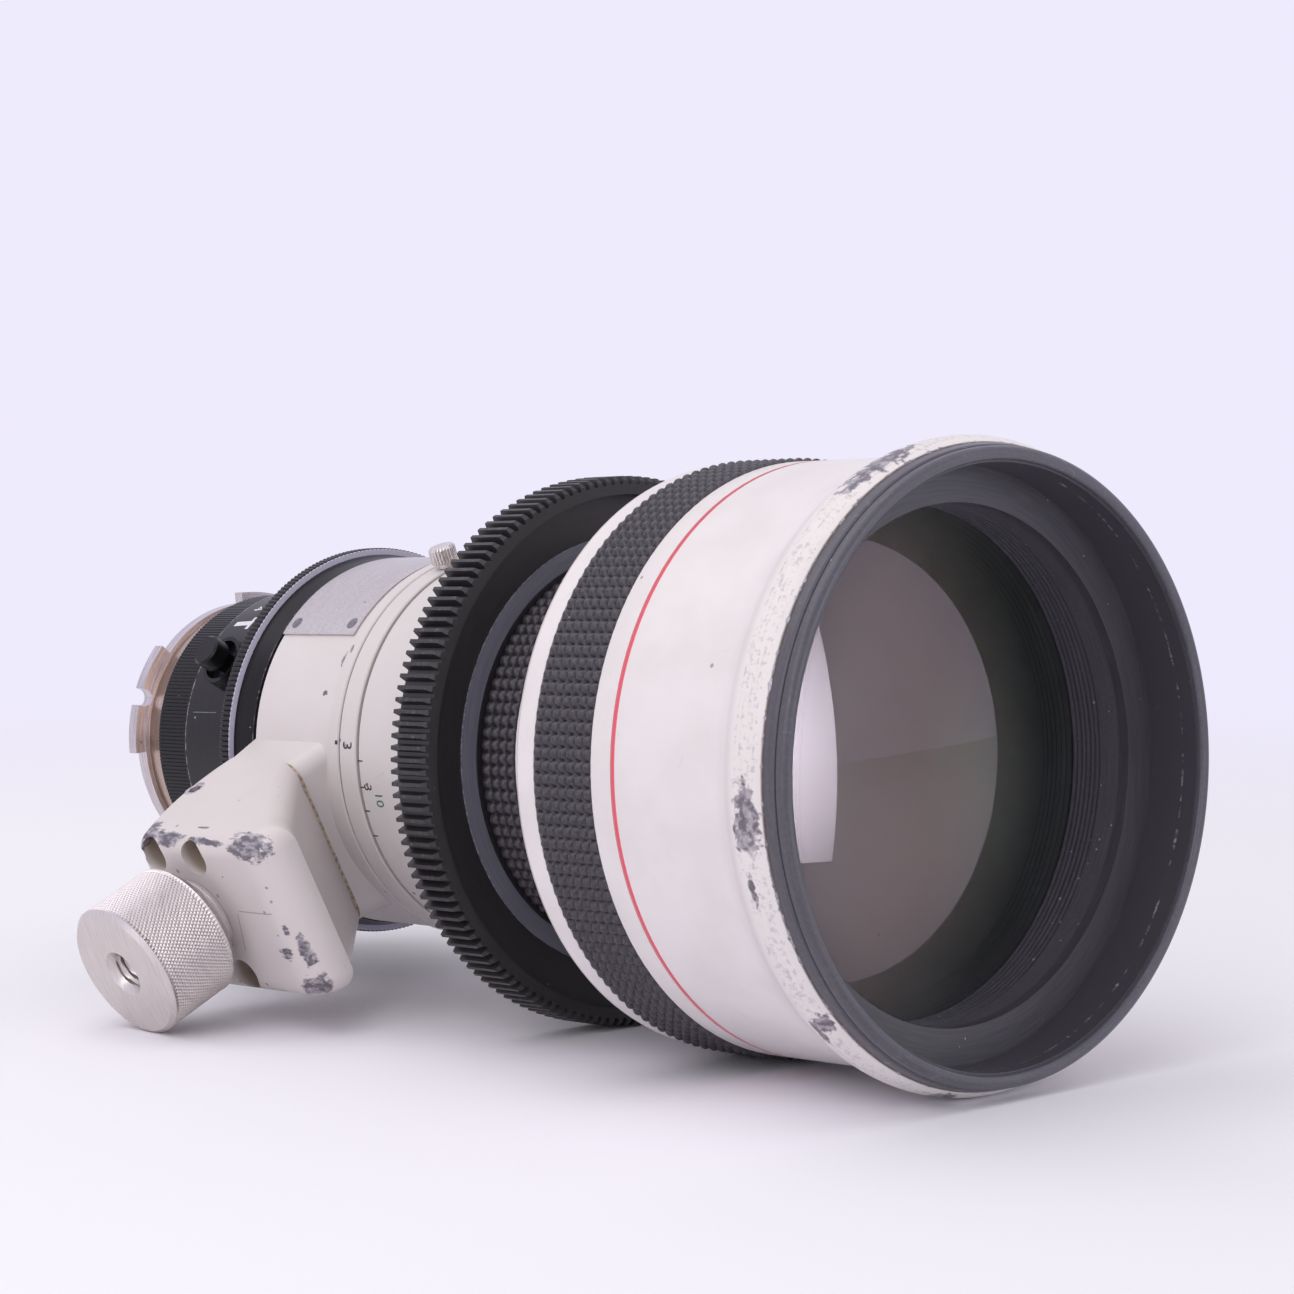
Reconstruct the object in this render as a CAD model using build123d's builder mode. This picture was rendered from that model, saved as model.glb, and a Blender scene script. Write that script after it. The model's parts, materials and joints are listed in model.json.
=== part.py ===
from build123d import *
import math
import os

os.makedirs("parts", exist_ok=True)

# A cine telephoto lens that lies on its flared front, its focus gear and the knob of its tripod foot.
# All sizes are millimetres. A value that ends in _front, _back or _at is a distance behind the
# front lip, measured along the optical axis. Radii are measured from that axis. A height is
# measured outwards from the axis, in the direction of the tripod foot.

# Clearances, and the length by which a cut runs past the faces of its piece
running_gap = 0.07
end_gap = 0.3
seat_gap = 0.02
screw_gap = 0.05
cut_margin = 1.0

# Front bumper and flared front barrel
barrel_radius = 61.4
barrel_wall = 1.8
bumper_rise = 2.1
bumper_front_rise = 1.4
bumper_radius = barrel_radius + bumper_rise
bumper_front_radius = barrel_radius + bumper_front_rise
bumper_inner = barrel_radius - bumper_front_rise
bumper_back = 4.8
bumper_step_at = 2.3
bumper_step_height = 0.35
bumper_edge = 0.4
spigot_front = 1.5
spigot_depth = 0.2
spigot_radius = barrel_radius - spigot_depth
hood_radius = barrel_radius - barrel_wall
flare_rise = 3.8
flare_radius = barrel_radius + flare_rise
flare_crest_at = 9.5
flare_back = 21.5
barrel_back = 76.1
barrel_edge = 0.5
land_height = 2.1
land_radius = hood_radius - land_height
land_length = 2.8

# Groove for the painted coral line, and the groove that holds the front grip
accent_front = 47.6
accent_width = 1.2
accent_depth = 0.4
front_grip_front = 54.4
front_grip_back = 71.4
front_grip_rise = 0.8
front_grip_radius = barrel_radius + front_grip_rise
front_grip_depth = 0.5

# Front ring, ribbed baffle and front optics
front_ring_front = 13.2
front_ring_back = 15.7
front_ring_width = 7.6
baffle_wall = 2.0
bore_radius = hood_radius - front_ring_width
baffle_radius = bore_radius + baffle_wall
baffle_back = 28.0
rib_front = 20.5
rib_pitch = 1.2
rib_count = 6
rib_depth = 0.5
front_glass_margin = 1.5
front_glass_radius = bore_radius + front_glass_margin
front_glass_edge = 28.7
front_glass_rim = 3.4
front_glass_bulge = 8.4
front_glass_back_bulge = 6.0
cell_flange_length = 2.5
cell_wall = 3.0
cell_step = 3.0
cell_land_height = 2.0
second_glass_radius = front_glass_radius - cell_step
cell_land_radius = second_glass_radius - cell_land_height
second_glass_edge = 51.0
second_glass_rim = 3.4
second_glass_bulge = 9.6
second_glass_hollow = 4.0
spacer_wall = 3.0
spacer_length = 3.4
third_glass_radius = second_glass_radius
third_glass_rim = 11.0
third_glass_front_hollow = 1.5
third_glass_hollow = 6.0
cell_back = 73.0
cell_seat_slope = 1.0

# Shoulder cone and main tube
cone_spigot_front = 70.0
cone_front_step = 0.4
cone_front_radius = barrel_radius - cone_front_step
cone_edge_at = 77.0
cone_small_radius = 46.5
cone_small_at = 93.0
cone_back = 94.2
cone_wall = 3.0
cone_inner_radius = 44.5
tube_bore = 36.0
tube_radius = 38.5
tube_front = 84.0
tube_back = 190.0
tube_flange_radius = 43.5
tube_flange_length = 3.0
shoulder_circle_radius = 41.2
shoulder_screw_radius = 1.0
shoulder_screw_head = 1.8
shoulder_screw_head_length = 1.4
shoulder_screw_reach = 1.8
shoulder_screw_count = 6

# Focus ring: sleeve, rubber, gear and the split liner under the gear
sleeve_radius = 43.0
sleeve_back = 151.4
sleeve_edge = 0.5
rubber_front = 95.4
rubber_back = 110.6
rubber_radius = 42.6
rubber_core_radius = 41.0
gear_front = 108.1
gear_back = 118.4
gear_module = 0.8
gear_teeth = 148
gear_radius = gear_module * (gear_teeth + 2) / 2
gear_root_radius = gear_radius - 2.25 * gear_module
gear_tip_share = 0.32
gear_root_share = 0.68
gear_edge = 1.0
gear_recess_radius = 56.0
gear_recess_depth = 3.2
liner_radius = 47.0
liner_front = 110.9
liner_split = 0.8

# Focus group that slides inside the main tube
focus_cell_front = 122.0
focus_cell_length = 26.0
focus_glass_radius = 32.4
focus_glass_land = 30.0
focus_glass_a_edge = 124.0
focus_glass_a_rim = 8.0
focus_glass_a_hollow = 2.6
focus_glass_b_edge = 135.0
focus_glass_b_rim = 3.0
focus_glass_b_hollow = 1.3
focus_glass_b_bulge = 4.0
focus_land_length = 3.0
focus_retainer_length = 3.0
focus_travel = 10.0
focus_turn = 160.0
focus_pin_radius = 1.5
focus_pin_inset = 6.0
focus_pin_height = 40.3
focus_pin_count = 3
focus_slot_gap = 0.3
focus_groove_depth = 2.2
focus_groove_extra = 4.5

# Preset ring, its knurled screw and the fixed index ring behind it
preset_front = 151.7
preset_back = 157.5
preset_radius = 43.4
preset_edge = 0.3
preset_screw_at = 153.9
preset_screw_angle = 97.0
preset_thread_radius = 1.3
preset_neck_radius = 1.9
preset_neck_height = 44.6
preset_head_radius = 3.1
preset_head_height = 48.4
preset_head_edge = 0.5
index_front = 157.8
index_back = 161.7
index_radius = 43.5
index_edge = 0.3

# Tripod collar with the saddle for the foot
collar_front = 162.0
collar_back = 189.7
collar_radius = 42.6
collar_edge = 0.4
saddle_front = 165.3
saddle_height = 45.0
saddle_half_width = 20.4
saddle_foot_half_width = 21.3
saddle_foot_height = 36.0
saddle_corner = 4.0
packing_thickness = 1.2
plate_front = 163.2
plate_back = 189.4
plate_angle = 64.0
plate_arc = 68.0
plate_thickness = 0.5
plate_screw_radius = 1.5
plate_screw_inset = 2.9
plate_screw_angle_inset = 4.2
plate_shank_radius = 0.8
plate_screw_length = 2.2

# Clamp screw of the collar, on the side away from the foot
clamp_at = 176.0
clamp_angle = 200.0
clamp_boss_radius = 6.5
clamp_boss_height = 45.0
clamp_shank_radius = 3.0
clamp_head_radius = 7.5
clamp_head_height = 56.5
clamp_head_edge = 1.0

# Tripod foot
foot_height = 77.0
foot_half_width = 22.0
foot_base_half_width = 20.0
foot_stem_front = 164.6
foot_slope_at = 146.0
foot_slope_drop = 12.2
foot_slope_height = foot_height - foot_slope_drop
foot_nose_at = 141.0
foot_nose_radius = 9.0
foot_stem_back = 190.3
foot_belly_back = 191.4
foot_belly_drop = 20.0
foot_belly_height = foot_height - foot_belly_drop
foot_back = 186.8
foot_rounding = 4.8
foot_screw_rows = (168.0, 183.0)
foot_screw_half_spread = 14.8
foot_screw_radius = 2.0
foot_screw_head_radius = 3.5
foot_screw_head_length = 4.0
foot_screw_recess_radius = 4.0
foot_screw_recess_depth = 14.0
foot_screw_tip_height = 39.8
foot_set_screw_at = 186.0
foot_set_screw_drop = 18.2
foot_set_screw_height = foot_height - foot_set_screw_drop
foot_set_screw_radius = 2.5
foot_set_screw_length = 4.0
foot_set_screw_inset = 0.2
foot_hex_radius = 1.7
foot_hex_depth = 2.0

# Tripod adapter on the foot: a stud, thin washers and a knurled knob with a threaded socket
adapter_at = 174.1
stud_radius = 4.76
stud_depth = 20.0
stud_inner_height = foot_height - stud_depth
washer_radius = 9.5
washer_count = 3
washer_thickness = 0.9
knob_hub_radius = 9.5
knob_hub_length = 1.5
knob_hub_height = foot_height + washer_count * washer_thickness + knob_hub_length
knob_radius = 15.5
knob_length = 19.6
knob_height = knob_hub_height + knob_length
knob_edge = 1.0
knob_back_edge = 1.8
socket_radius = 4.0
socket_mouth_radius = 5.35
socket_depth = 12.0
socket_floor_thickness = 2.0

# Iris section: rear band, iris tube, toothed ring and the ring with the aperture scale
rear_band_back = 196.0
rear_band_front_radius = 42.8
rear_band_back_radius = 43.9
iris_tube_radius = 33.0
iris_tube_bore = 29.5
iris_tube_front = 184.0
iris_tube_back = 233.0
toothed_ring_front = 196.2
toothed_ring_back = 199.8
toothed_ring_radius = 45.5
toothed_ring_edge = 0.4
t_ring_hub_radius = 36.2
t_ring_front_radius = 37.5
t_ring_back = 227.0
t_ring_back_radius = 35.9
t_ring_edge = 0.4
lock_at = 211.6
lock_angle = 56.0
lock_boss_radius = 6.0
lock_boss_height = 41.0
lock_recess_radius = 5.0
lock_recess_height = 38.6
lock_thread_radius = 1.5
lock_neck_radius = 2.3
lock_cap_radius = 3.8
lock_cap_bottom = 42.2
lock_cap_height = 46.2
lock_cap_edge = 0.5

# Iris diaphragm: curved blades that swing on pins held by a fixed plate
blade_count = 8
blade_front = 203.0
blade_pitch = 0.5
blade_thickness = 0.25
blade_inner = 15.6
blade_outer = 20.4
blade_span = 62.0
blade_ear_radius = 1.9
pivot_circle_radius = 22.0
pivot_radius = 0.8
tail_length = 6.0
tail_radius = 1.1
drive_pin_radius = 0.5
cam_front = 200.8
cam_thickness = 1.6
cam_inner = 20.9
cam_slot_gap = 0.15
cam_pin_radius = 0.7
cam_pin_seat = 3.0
cam_pin_angle = 150.0
cam_pin_height = 34.6
iris_plate_front = 208.0
iris_plate_thickness = 1.4
iris_plate_inner = 15.2
iris_turn = 70.0
blade_swing = 35.0

# Rear cell and its two glasses
rear_cell_front = 212.0
rear_cell_back = 240.0
rear_cell_wall = 2.6
rear_glass_a_edge = 215.0
rear_glass_a_rim = 3.0
rear_glass_a_bulge = 3.4
rear_glass_a_back_bulge = 1.5
rear_glass_land = 2.0
rear_glass_b_edge = 230.0
rear_glass_b_rim = 3.0
rear_glass_b_hollow = 1.0
rear_glass_b_bulge = 2.6

# Knurled sleeve and steel camera mount with four lugs
sleeve_ring_front = 227.3
sleeve_ring_back = 240.0
sleeve_ring_radius = 34.6
sleeve_ring_edge = 0.5
mount_cone_radius = 33.8
mount_neck_radius = 31.6
mount_neck_at = 247.5
mount_flange_radius = 32.7
mount_flange_at = 250.9
mount_bore = 24.5
lug_radius = 35.3
lug_thickness = 3.0
lug_count = 4
lug_half_angle = 22.5
lug_angle = 44.3
lug_notch_width = 4.2
lug_notch_depth = 3.2
mount_barrel_radius = 27.0
mount_barrel_length = 5.5
mount_barrel_edge = 0.4
mount_cone_bore = 26.0
mount_circle_radius = 29.4
mount_screw_radius = 0.9
mount_screw_head_radius = 1.5
mount_screw_head_length = 1.4
mount_screw_length = 9.5
mount_screw_count = 4

# The lens rests on the round crest of the flare, on the back edge of the gear teeth and on the rim
# of the adapter knob. The first two set the tilt of the axis and the third sets how far the collar
# has turned. The crest is an arc, and the flare leaves it for an equal arc that ends in the barrel.
flare_length = flare_back - flare_crest_at
flare_curve = (flare_length**2 + flare_rise**2) / (4 * flare_rise)
rest_run = gear_back - flare_crest_at
rest_rise = gear_radius - flare_radius + flare_curve
tilt = math.asin(flare_curve / math.hypot(rest_run, rest_rise)) - math.atan2(rest_rise, rest_run)
lip_height = gear_radius * math.cos(tilt) + gear_back * math.sin(tilt)
knob_axis_height = lip_height - adapter_at * math.sin(tilt)
rim_height = knob_height - knob_edge
rim_distance = math.hypot(rim_height, knob_radius)
droop = math.asin(knob_axis_height / rim_distance) - math.atan2(knob_radius, rim_height)
foot_turn = math.asin(math.sin(droop) / math.cos(tilt))

# The origin is the middle of the lens's box, on the surface that it rests on.
knob_reach = knob_height * math.cos(foot_turn) + (knob_radius - knob_edge) * math.sin(foot_turn)
front_reach = (bumper_front_radius - bumper_edge) * math.sin(tilt)
total_length = mount_flange_at + mount_barrel_length
back_reach = total_length * math.cos(tilt) + (mount_barrel_radius - mount_barrel_edge) * math.sin(tilt)
lip_centre = Vector((knob_reach - flare_radius) / 2, (front_reach - back_reach) / 2, lip_height)

# Directions: along the axis to the rear, out through the foot, and square to both
axis_dir = Vector(0, math.cos(tilt), -math.sin(tilt))
down_dir = Vector(0, -math.sin(tilt), -math.cos(tilt))
foot_dir = Vector(-math.cos(foot_turn), 0, 0) + down_dir * math.sin(foot_turn)
side_dir = axis_dir.cross(foot_dir)
lens_axis = Axis(lip_centre, axis_dir)


def outward(angle):
    """Direction square to the axis, turned by an angle in degrees from the foot."""
    return foot_dir * math.cos(math.radians(angle)) + side_dir * math.sin(math.radians(angle))


def along(distance):
    """Point of the axis at a distance behind the lip."""
    return lip_centre + axis_dir * distance


def section_plane(angle=0):
    """Plane through the axis: x is the radius and y the distance behind the lip."""
    return Plane(origin=lip_centre, x_dir=outward(angle), z_dir=outward(angle).cross(axis_dir))


def disc_plane(distance):
    """Plane square to the axis that faces the rear: x runs out through the foot."""
    return Plane(origin=along(distance), x_dir=foot_dir, z_dir=axis_dir)


def radial_plane(distance, angle, height=0):
    """Plane that faces outwards at a height above the axis: x runs to the rear."""
    origin = along(distance) + outward(angle) * height
    return Plane(origin=origin, x_dir=axis_dir, z_dir=outward(angle))


def band(inner, outer, front, back, angle=0):
    """Rectangle of a section between two radii and two distances behind the lip."""
    with BuildSketch(section_plane(angle)) as profile:
        with BuildLine():
            Polyline((inner, front), (outer, front), (outer, back), (inner, back), close=True)
        make_face()
    return profile.sketch


def outline(*points):
    """Closed section through points given as radius and distance behind the lip."""
    with BuildSketch(section_plane()) as profile:
        with BuildLine():
            Polyline(*points, close=True)
        make_face()
    return profile.sketch


def element(rim_radius, front_edge, back_edge, front_bulge, back_bulge):
    """Half section of a glass: a positive bulge swells outwards and a negative one is hollow."""
    front_vertex = (0, front_edge - front_bulge)
    back_vertex = (0, back_edge + back_bulge)
    with BuildSketch(section_plane()) as profile:
        with BuildLine():
            TangentArc(front_vertex, (rim_radius, front_edge), tangent=(1, 0))
            Line((rim_radius, front_edge), (rim_radius, back_edge))
            TangentArc(back_vertex, (rim_radius, back_edge), tangent=(1, 0))
            Line(back_vertex, front_vertex)
        make_face()
    return profile.sketch


def finish(builder, name):
    """Labels a finished piece and writes it to its own file."""
    builder.part.label = name
    export_step(builder.part, f"parts/{name}.step")


# Front bumper: a hard black ring with a step between its two bands, pressed over the barrel's spigot
with BuildPart() as front_bumper:
    with BuildSketch(section_plane()):
        with BuildLine():
            Polyline(
                (bumper_inner, 0),
                (bumper_front_radius - bumper_edge, 0),
                (bumper_front_radius, bumper_edge),
                (bumper_front_radius, bumper_step_at),
                (bumper_front_radius + bumper_step_height, bumper_step_at + bumper_step_height),
                (bumper_radius, bumper_back),
                (spigot_radius + seat_gap, bumper_back),
                (spigot_radius + seat_gap, spigot_front),
                (bumper_inner, spigot_front),
                close=True,
            )
        make_face()
    revolve(axis=lens_axis)
finish(front_bumper, "front_bumper")

# Front barrel: a thin tube that flares out to a round crest, with a land inside for the front cell
flare_middle = ((barrel_radius + flare_radius) / 2, (flare_back + flare_crest_at) / 2)
land_front = front_ring_back + cell_flange_length
with BuildPart() as front_barrel:
    with BuildSketch(section_plane()):
        with BuildLine():
            TangentArc((barrel_radius, flare_back), flare_middle, tangent=(0, -1))
            TangentArc((flare_radius, flare_crest_at), flare_middle, tangent=(0, 1))
            TangentArc((flare_radius, flare_crest_at), (bumper_radius, bumper_back), tangent=(0, -1))
            Polyline(
                (bumper_radius, bumper_back),
                (spigot_radius, bumper_back),
                (spigot_radius, spigot_front),
                (hood_radius, spigot_front),
                (hood_radius, land_front),
                (land_radius, land_front),
                (land_radius, land_front + land_length),
                (hood_radius, land_front + land_length),
                (hood_radius, barrel_back),
                (barrel_radius - barrel_edge, barrel_back),
                (barrel_radius, barrel_back - barrel_edge),
                (barrel_radius, flare_back),
            )
        make_face()
    revolve(axis=lens_axis)
    accent_floor = barrel_radius - accent_depth
    accent_groove = band(accent_floor, barrel_radius + cut_margin, accent_front, accent_front + accent_width)
    revolve(accent_groove, axis=lens_axis, mode=Mode.SUBTRACT)
    grip_floor = barrel_radius - front_grip_depth
    grip_groove = band(grip_floor, barrel_radius + cut_margin, front_grip_front, front_grip_back)
    revolve(grip_groove, axis=lens_axis, mode=Mode.SUBTRACT)
finish(front_barrel, "front_barrel")

# Front grip: a rubber band stretched into its groove
with BuildPart() as front_grip:
    revolve(
        band(grip_floor + seat_gap, front_grip_radius, front_grip_front, front_grip_back),
        axis=lens_axis,
    )
finish(front_grip, "front_grip")

# Front ring: the flat ring that holds the front cell against the barrel's land
with BuildPart() as front_ring:
    revolve(
        band(bore_radius, hood_radius - seat_gap, front_ring_front, front_ring_back),
        axis=lens_axis,
    )
finish(front_ring, "front_ring")

# Front baffle: a black sleeve whose bore is ribbed against stray light
with BuildPart() as front_baffle:
    revolve(band(bore_radius, baffle_radius, front_ring_back, baffle_back), axis=lens_axis)
    for rib in range(rib_count):
        groove_front = rib_front + rib * rib_pitch
        groove = outline(
            (bore_radius - cut_margin, groove_front),
            (bore_radius + rib_depth, groove_front + rib_pitch / 4),
            (bore_radius + rib_depth, groove_front + rib_pitch / 2),
            (bore_radius - cut_margin, groove_front + rib_pitch * 3 / 4),
        )
        revolve(groove, axis=lens_axis, mode=Mode.SUBTRACT)
finish(front_baffle, "front_baffle")

# Front glass: a thick element that swells on both sides
front_glass_back = front_glass_edge + front_glass_rim
with BuildPart() as front_glass:
    revolve(
        element(
            front_glass_radius,
            front_glass_edge,
            front_glass_back,
            front_glass_bulge,
            front_glass_back_bulge,
        ),
        axis=lens_axis,
    )
finish(front_glass, "front_glass")

# Second glass: a meniscus behind the front glass
second_glass_back = second_glass_edge + second_glass_rim
with BuildPart() as second_glass:
    revolve(
        element(
            second_glass_radius,
            second_glass_edge,
            second_glass_back,
            second_glass_bulge,
            -second_glass_hollow,
        ),
        axis=lens_axis,
    )
finish(second_glass, "second_glass")

# Spacer ring between the second and the third glass
spacer_back = second_glass_back + spacer_length
with BuildPart() as glass_spacer:
    revolve(
        band(second_glass_radius - spacer_wall, second_glass_radius, second_glass_back, spacer_back),
        axis=lens_axis,
    )
finish(glass_spacer, "glass_spacer")

# Third glass: a negative element, flat in front and hollow behind
third_glass_back = spacer_back + third_glass_rim
with BuildPart() as third_glass:
    revolve(
        element(
            third_glass_radius,
            spacer_back,
            third_glass_back,
            -third_glass_front_hollow,
            -third_glass_hollow,
        ),
        axis=lens_axis,
    )
finish(third_glass, "third_glass")

# Front cell: the tube that carries the front optics, with lands for the glasses
cell_radius = front_glass_radius + cell_wall
with BuildPart() as front_cell:
    revolve(
        outline(
            (baffle_radius + seat_gap, front_ring_back),
            (hood_radius - seat_gap, front_ring_back),
            (hood_radius - seat_gap, land_front),
            (cell_radius, land_front),
            (cell_radius, cell_back),
            (second_glass_radius + seat_gap, cell_back),
            (second_glass_radius + seat_gap, second_glass_edge),
            (cell_land_radius, second_glass_edge - cell_seat_slope),
            (cell_land_radius, front_glass_back + front_glass_rim),
            (front_glass_radius + seat_gap, front_glass_back),
            (front_glass_radius + seat_gap, baffle_back),
            (baffle_radius + seat_gap, baffle_back),
        ),
        axis=lens_axis,
    )
finish(front_cell, "front_cell")

# Cell ring: the threaded ring that locks the third glass in the cell
with BuildPart() as cell_ring:
    revolve(
        band(second_glass_radius - spacer_wall, second_glass_radius, third_glass_back, cell_back),
        axis=lens_axis,
    )
finish(cell_ring, "cell_ring")

# Shoulder cone: joins the wide front barrel to the narrow main tube
flange_back = cone_back - cone_wall
with BuildPart() as shoulder_cone:
    revolve(
        outline(
            (hood_radius - seat_gap, cone_spigot_front),
            (hood_radius - seat_gap, barrel_back),
            (cone_front_radius, barrel_back),
            (cone_front_radius, cone_edge_at),
            (cone_small_radius, cone_small_at),
            (cone_small_radius, cone_back),
            (tube_radius + seat_gap, cone_back),
            (tube_radius + seat_gap, flange_back),
            (cone_inner_radius, flange_back),
            (hood_radius - cone_wall, barrel_back),
            (hood_radius - cone_wall, cone_spigot_front),
        ),
        axis=lens_axis,
    )
    with Locations(disc_plane(flange_back)):
        with PolarLocations(shoulder_circle_radius, shoulder_screw_count):
            Cylinder(
                shoulder_screw_radius,
                2 * (shoulder_screw_reach + end_gap),
                mode=Mode.SUBTRACT,
            )
finish(shoulder_cone, "shoulder_cone")

# Main tube: the backbone of the lens, with a flange in front and straight slots for the focus pins
focus_pin_at = focus_cell_front + focus_pin_inset
slot_width = 2 * (focus_pin_radius + focus_slot_gap)
with BuildPart() as main_tube:
    revolve(band(tube_bore, tube_radius, tube_front, tube_back), axis=lens_axis)
    revolve(
        band(tube_bore, tube_flange_radius, flange_back - tube_flange_length, flange_back),
        axis=lens_axis,
    )
    with Locations(disc_plane(flange_back - tube_flange_length)):
        with PolarLocations(shoulder_circle_radius, shoulder_screw_count):
            Cylinder(
                shoulder_screw_radius + screw_gap,
                3 * tube_flange_length,
                mode=Mode.SUBTRACT,
            )
    slot_middle = focus_pin_at + focus_travel / 2
    for pin in range(focus_pin_count):
        pin_angle = pin * 360 / focus_pin_count
        with BuildSketch(radial_plane(slot_middle, pin_angle, tube_bore - cut_margin)):
            SlotCenterToCenter(focus_travel, slot_width)
        extrude(amount=tube_radius - tube_bore + 2 * cut_margin, mode=Mode.SUBTRACT)
finish(main_tube, "main_tube")

# Shoulder screws: small pan heads in front of the flange, threaded into the cone
with BuildPart() as shoulder_screws:
    with Locations(disc_plane(flange_back - tube_flange_length)):
        with PolarLocations(shoulder_circle_radius, shoulder_screw_count):
            Cylinder(
                shoulder_screw_head,
                shoulder_screw_head_length,
                align=(Align.CENTER, Align.CENTER, Align.MAX),
            )
            Cylinder(
                shoulder_screw_radius - seat_gap,
                tube_flange_length + shoulder_screw_reach,
                align=(Align.CENTER, Align.CENTER, Align.MIN),
            )
finish(shoulder_screws, "shoulder_screws")

# Focus sleeve: turns on the main tube; helical grooves in its bore drive the focus pins
sleeve_front = cone_back + end_gap
sleeve_bore = tube_radius + running_gap
groove_radius = sleeve_bore + focus_groove_depth / 2
groove_lead = 2 * math.pi * focus_travel / math.radians(focus_turn)
groove_overrun = focus_travel * focus_groove_extra / focus_turn
groove_front = focus_pin_at - groove_overrun
groove_helix = Helix(groove_lead, focus_travel + 2 * groove_overrun, groove_radius, lefthand=True)
groove_angles = [pin * 360 / focus_pin_count + focus_groove_extra for pin in range(focus_pin_count)]
groove_paths = [
    Plane(along(groove_front), outward(angle), axis_dir) * groove_helix for angle in groove_angles
]
with BuildPart() as focus_sleeve:
    revolve(
        outline(
            (sleeve_bore, sleeve_front),
            (rubber_core_radius, sleeve_front),
            (rubber_core_radius, rubber_back),
            (sleeve_radius, rubber_back),
            (sleeve_radius, sleeve_back - sleeve_edge),
            (sleeve_radius - sleeve_edge, sleeve_back),
            (sleeve_bore, sleeve_back),
        ),
        axis=lens_axis,
    )
    for angle, path in zip(groove_angles, groove_paths):
        with BuildSketch(Plane(path @ 0, outward(angle), path % 0)):
            with Locations((-cut_margin / 2, 0)):
                Rectangle(focus_groove_depth + cut_margin, slot_width)
        sweep(path=path, is_frenet=True, mode=Mode.SUBTRACT)
finish(focus_sleeve, "focus_sleeve")

# Focus rubber: a ribbed band stretched over the front of the sleeve
with BuildPart() as focus_rubber:
    revolve(
        band(rubber_core_radius + seat_gap, rubber_radius, rubber_front, rubber_back),
        axis=lens_axis,
    )
finish(focus_rubber, "focus_rubber")

# Focus gear: a disc with involute-like teeth of module 0.8 for a follow focus
tooth_pitch = 360 / gear_teeth
tooth_points = []
for tooth in range(gear_teeth):
    for share, radius in (
        (0, gear_root_radius),
        ((gear_root_share - gear_tip_share) / 2, gear_radius),
        ((gear_root_share + gear_tip_share) / 2, gear_radius),
        (gear_root_share, gear_root_radius),
    ):
        turn = math.radians((tooth + share) * tooth_pitch)
        tooth_points.append((radius * math.cos(turn), radius * math.sin(turn)))
with BuildPart() as focus_gear:
    with BuildSketch(disc_plane(gear_front)):
        with BuildLine():
            Polyline(*tooth_points, close=True)
        make_face()
        Circle(liner_radius + seat_gap, mode=Mode.SUBTRACT)
    extrude(amount=gear_back - gear_front)
    front_bevel = outline(
        (gear_radius + cut_margin, gear_front - cut_margin),
        (gear_radius + cut_margin, gear_front + gear_edge + cut_margin),
        (gear_radius - gear_edge - cut_margin, gear_front - cut_margin),
    )
    revolve(front_bevel, axis=lens_axis, mode=Mode.SUBTRACT)
    front_recess = band(liner_radius, gear_recess_radius, gear_front - cut_margin, gear_front + gear_recess_depth)
    revolve(front_recess, axis=lens_axis, mode=Mode.SUBTRACT)
finish(focus_gear, "focus_gear")

# Gear liner: the split ring that grips the sleeve inside the gear
with BuildPart() as gear_liner:
    revolve(band(sleeve_radius + seat_gap, liner_radius, liner_front, gear_back), axis=lens_axis)
    with BuildSketch(radial_plane((liner_front + gear_back) / 2, 180, sleeve_radius - cut_margin)):
        Rectangle(gear_back - liner_front + 2 * cut_margin, liner_split)
    extrude(amount=liner_radius - sleeve_radius + 2 * cut_margin, mode=Mode.SUBTRACT)
finish(gear_liner, "gear_liner")

# Focus cell: slides inside the main tube and carries two glasses
focus_cell_radius = tube_bore - running_gap
focus_cell_back = focus_cell_front + focus_cell_length
focus_glass_a_back = focus_glass_a_edge + focus_glass_a_rim
focus_glass_b_back = focus_glass_b_edge + focus_glass_b_rim
with BuildPart() as focus_cell:
    revolve(
        outline(
            (focus_glass_radius + seat_gap, focus_cell_front),
            (focus_cell_radius, focus_cell_front),
            (focus_cell_radius, focus_cell_back),
            (focus_glass_radius + seat_gap, focus_cell_back),
            (focus_glass_radius + seat_gap, focus_glass_a_back + focus_land_length),
            (focus_glass_land, focus_glass_a_back + focus_land_length),
            (focus_glass_land, focus_glass_a_back),
            (focus_glass_radius + seat_gap, focus_glass_a_back),
        ),
        axis=lens_axis,
    )
    for pin in range(focus_pin_count):
        pin_angle = pin * 360 / focus_pin_count
        with BuildSketch(radial_plane(focus_pin_at, pin_angle, focus_glass_radius - cut_margin)):
            Circle(focus_pin_radius + seat_gap)
        extrude(amount=focus_cell_radius, mode=Mode.SUBTRACT)
finish(focus_cell, "focus_cell")

# Focus pins: pressed into the cell, through the tube's slots and into the sleeve's grooves
pin_foot = focus_glass_radius + 2 * seat_gap
with BuildPart() as focus_pins:
    for pin in range(focus_pin_count):
        with BuildSketch(radial_plane(focus_pin_at, pin * 360 / focus_pin_count, pin_foot)):
            Circle(focus_pin_radius)
        extrude(amount=focus_pin_height - pin_foot)
finish(focus_pins, "focus_pins")

# Front glass of the focus group, hollow on both sides
with BuildPart() as focus_glass_a:
    revolve(
        element(
            focus_glass_radius,
            focus_glass_a_edge,
            focus_glass_a_back,
            -focus_glass_a_hollow,
            -focus_glass_a_hollow,
        ),
        axis=lens_axis,
    )
finish(focus_glass_a, "focus_glass_a")

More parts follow.
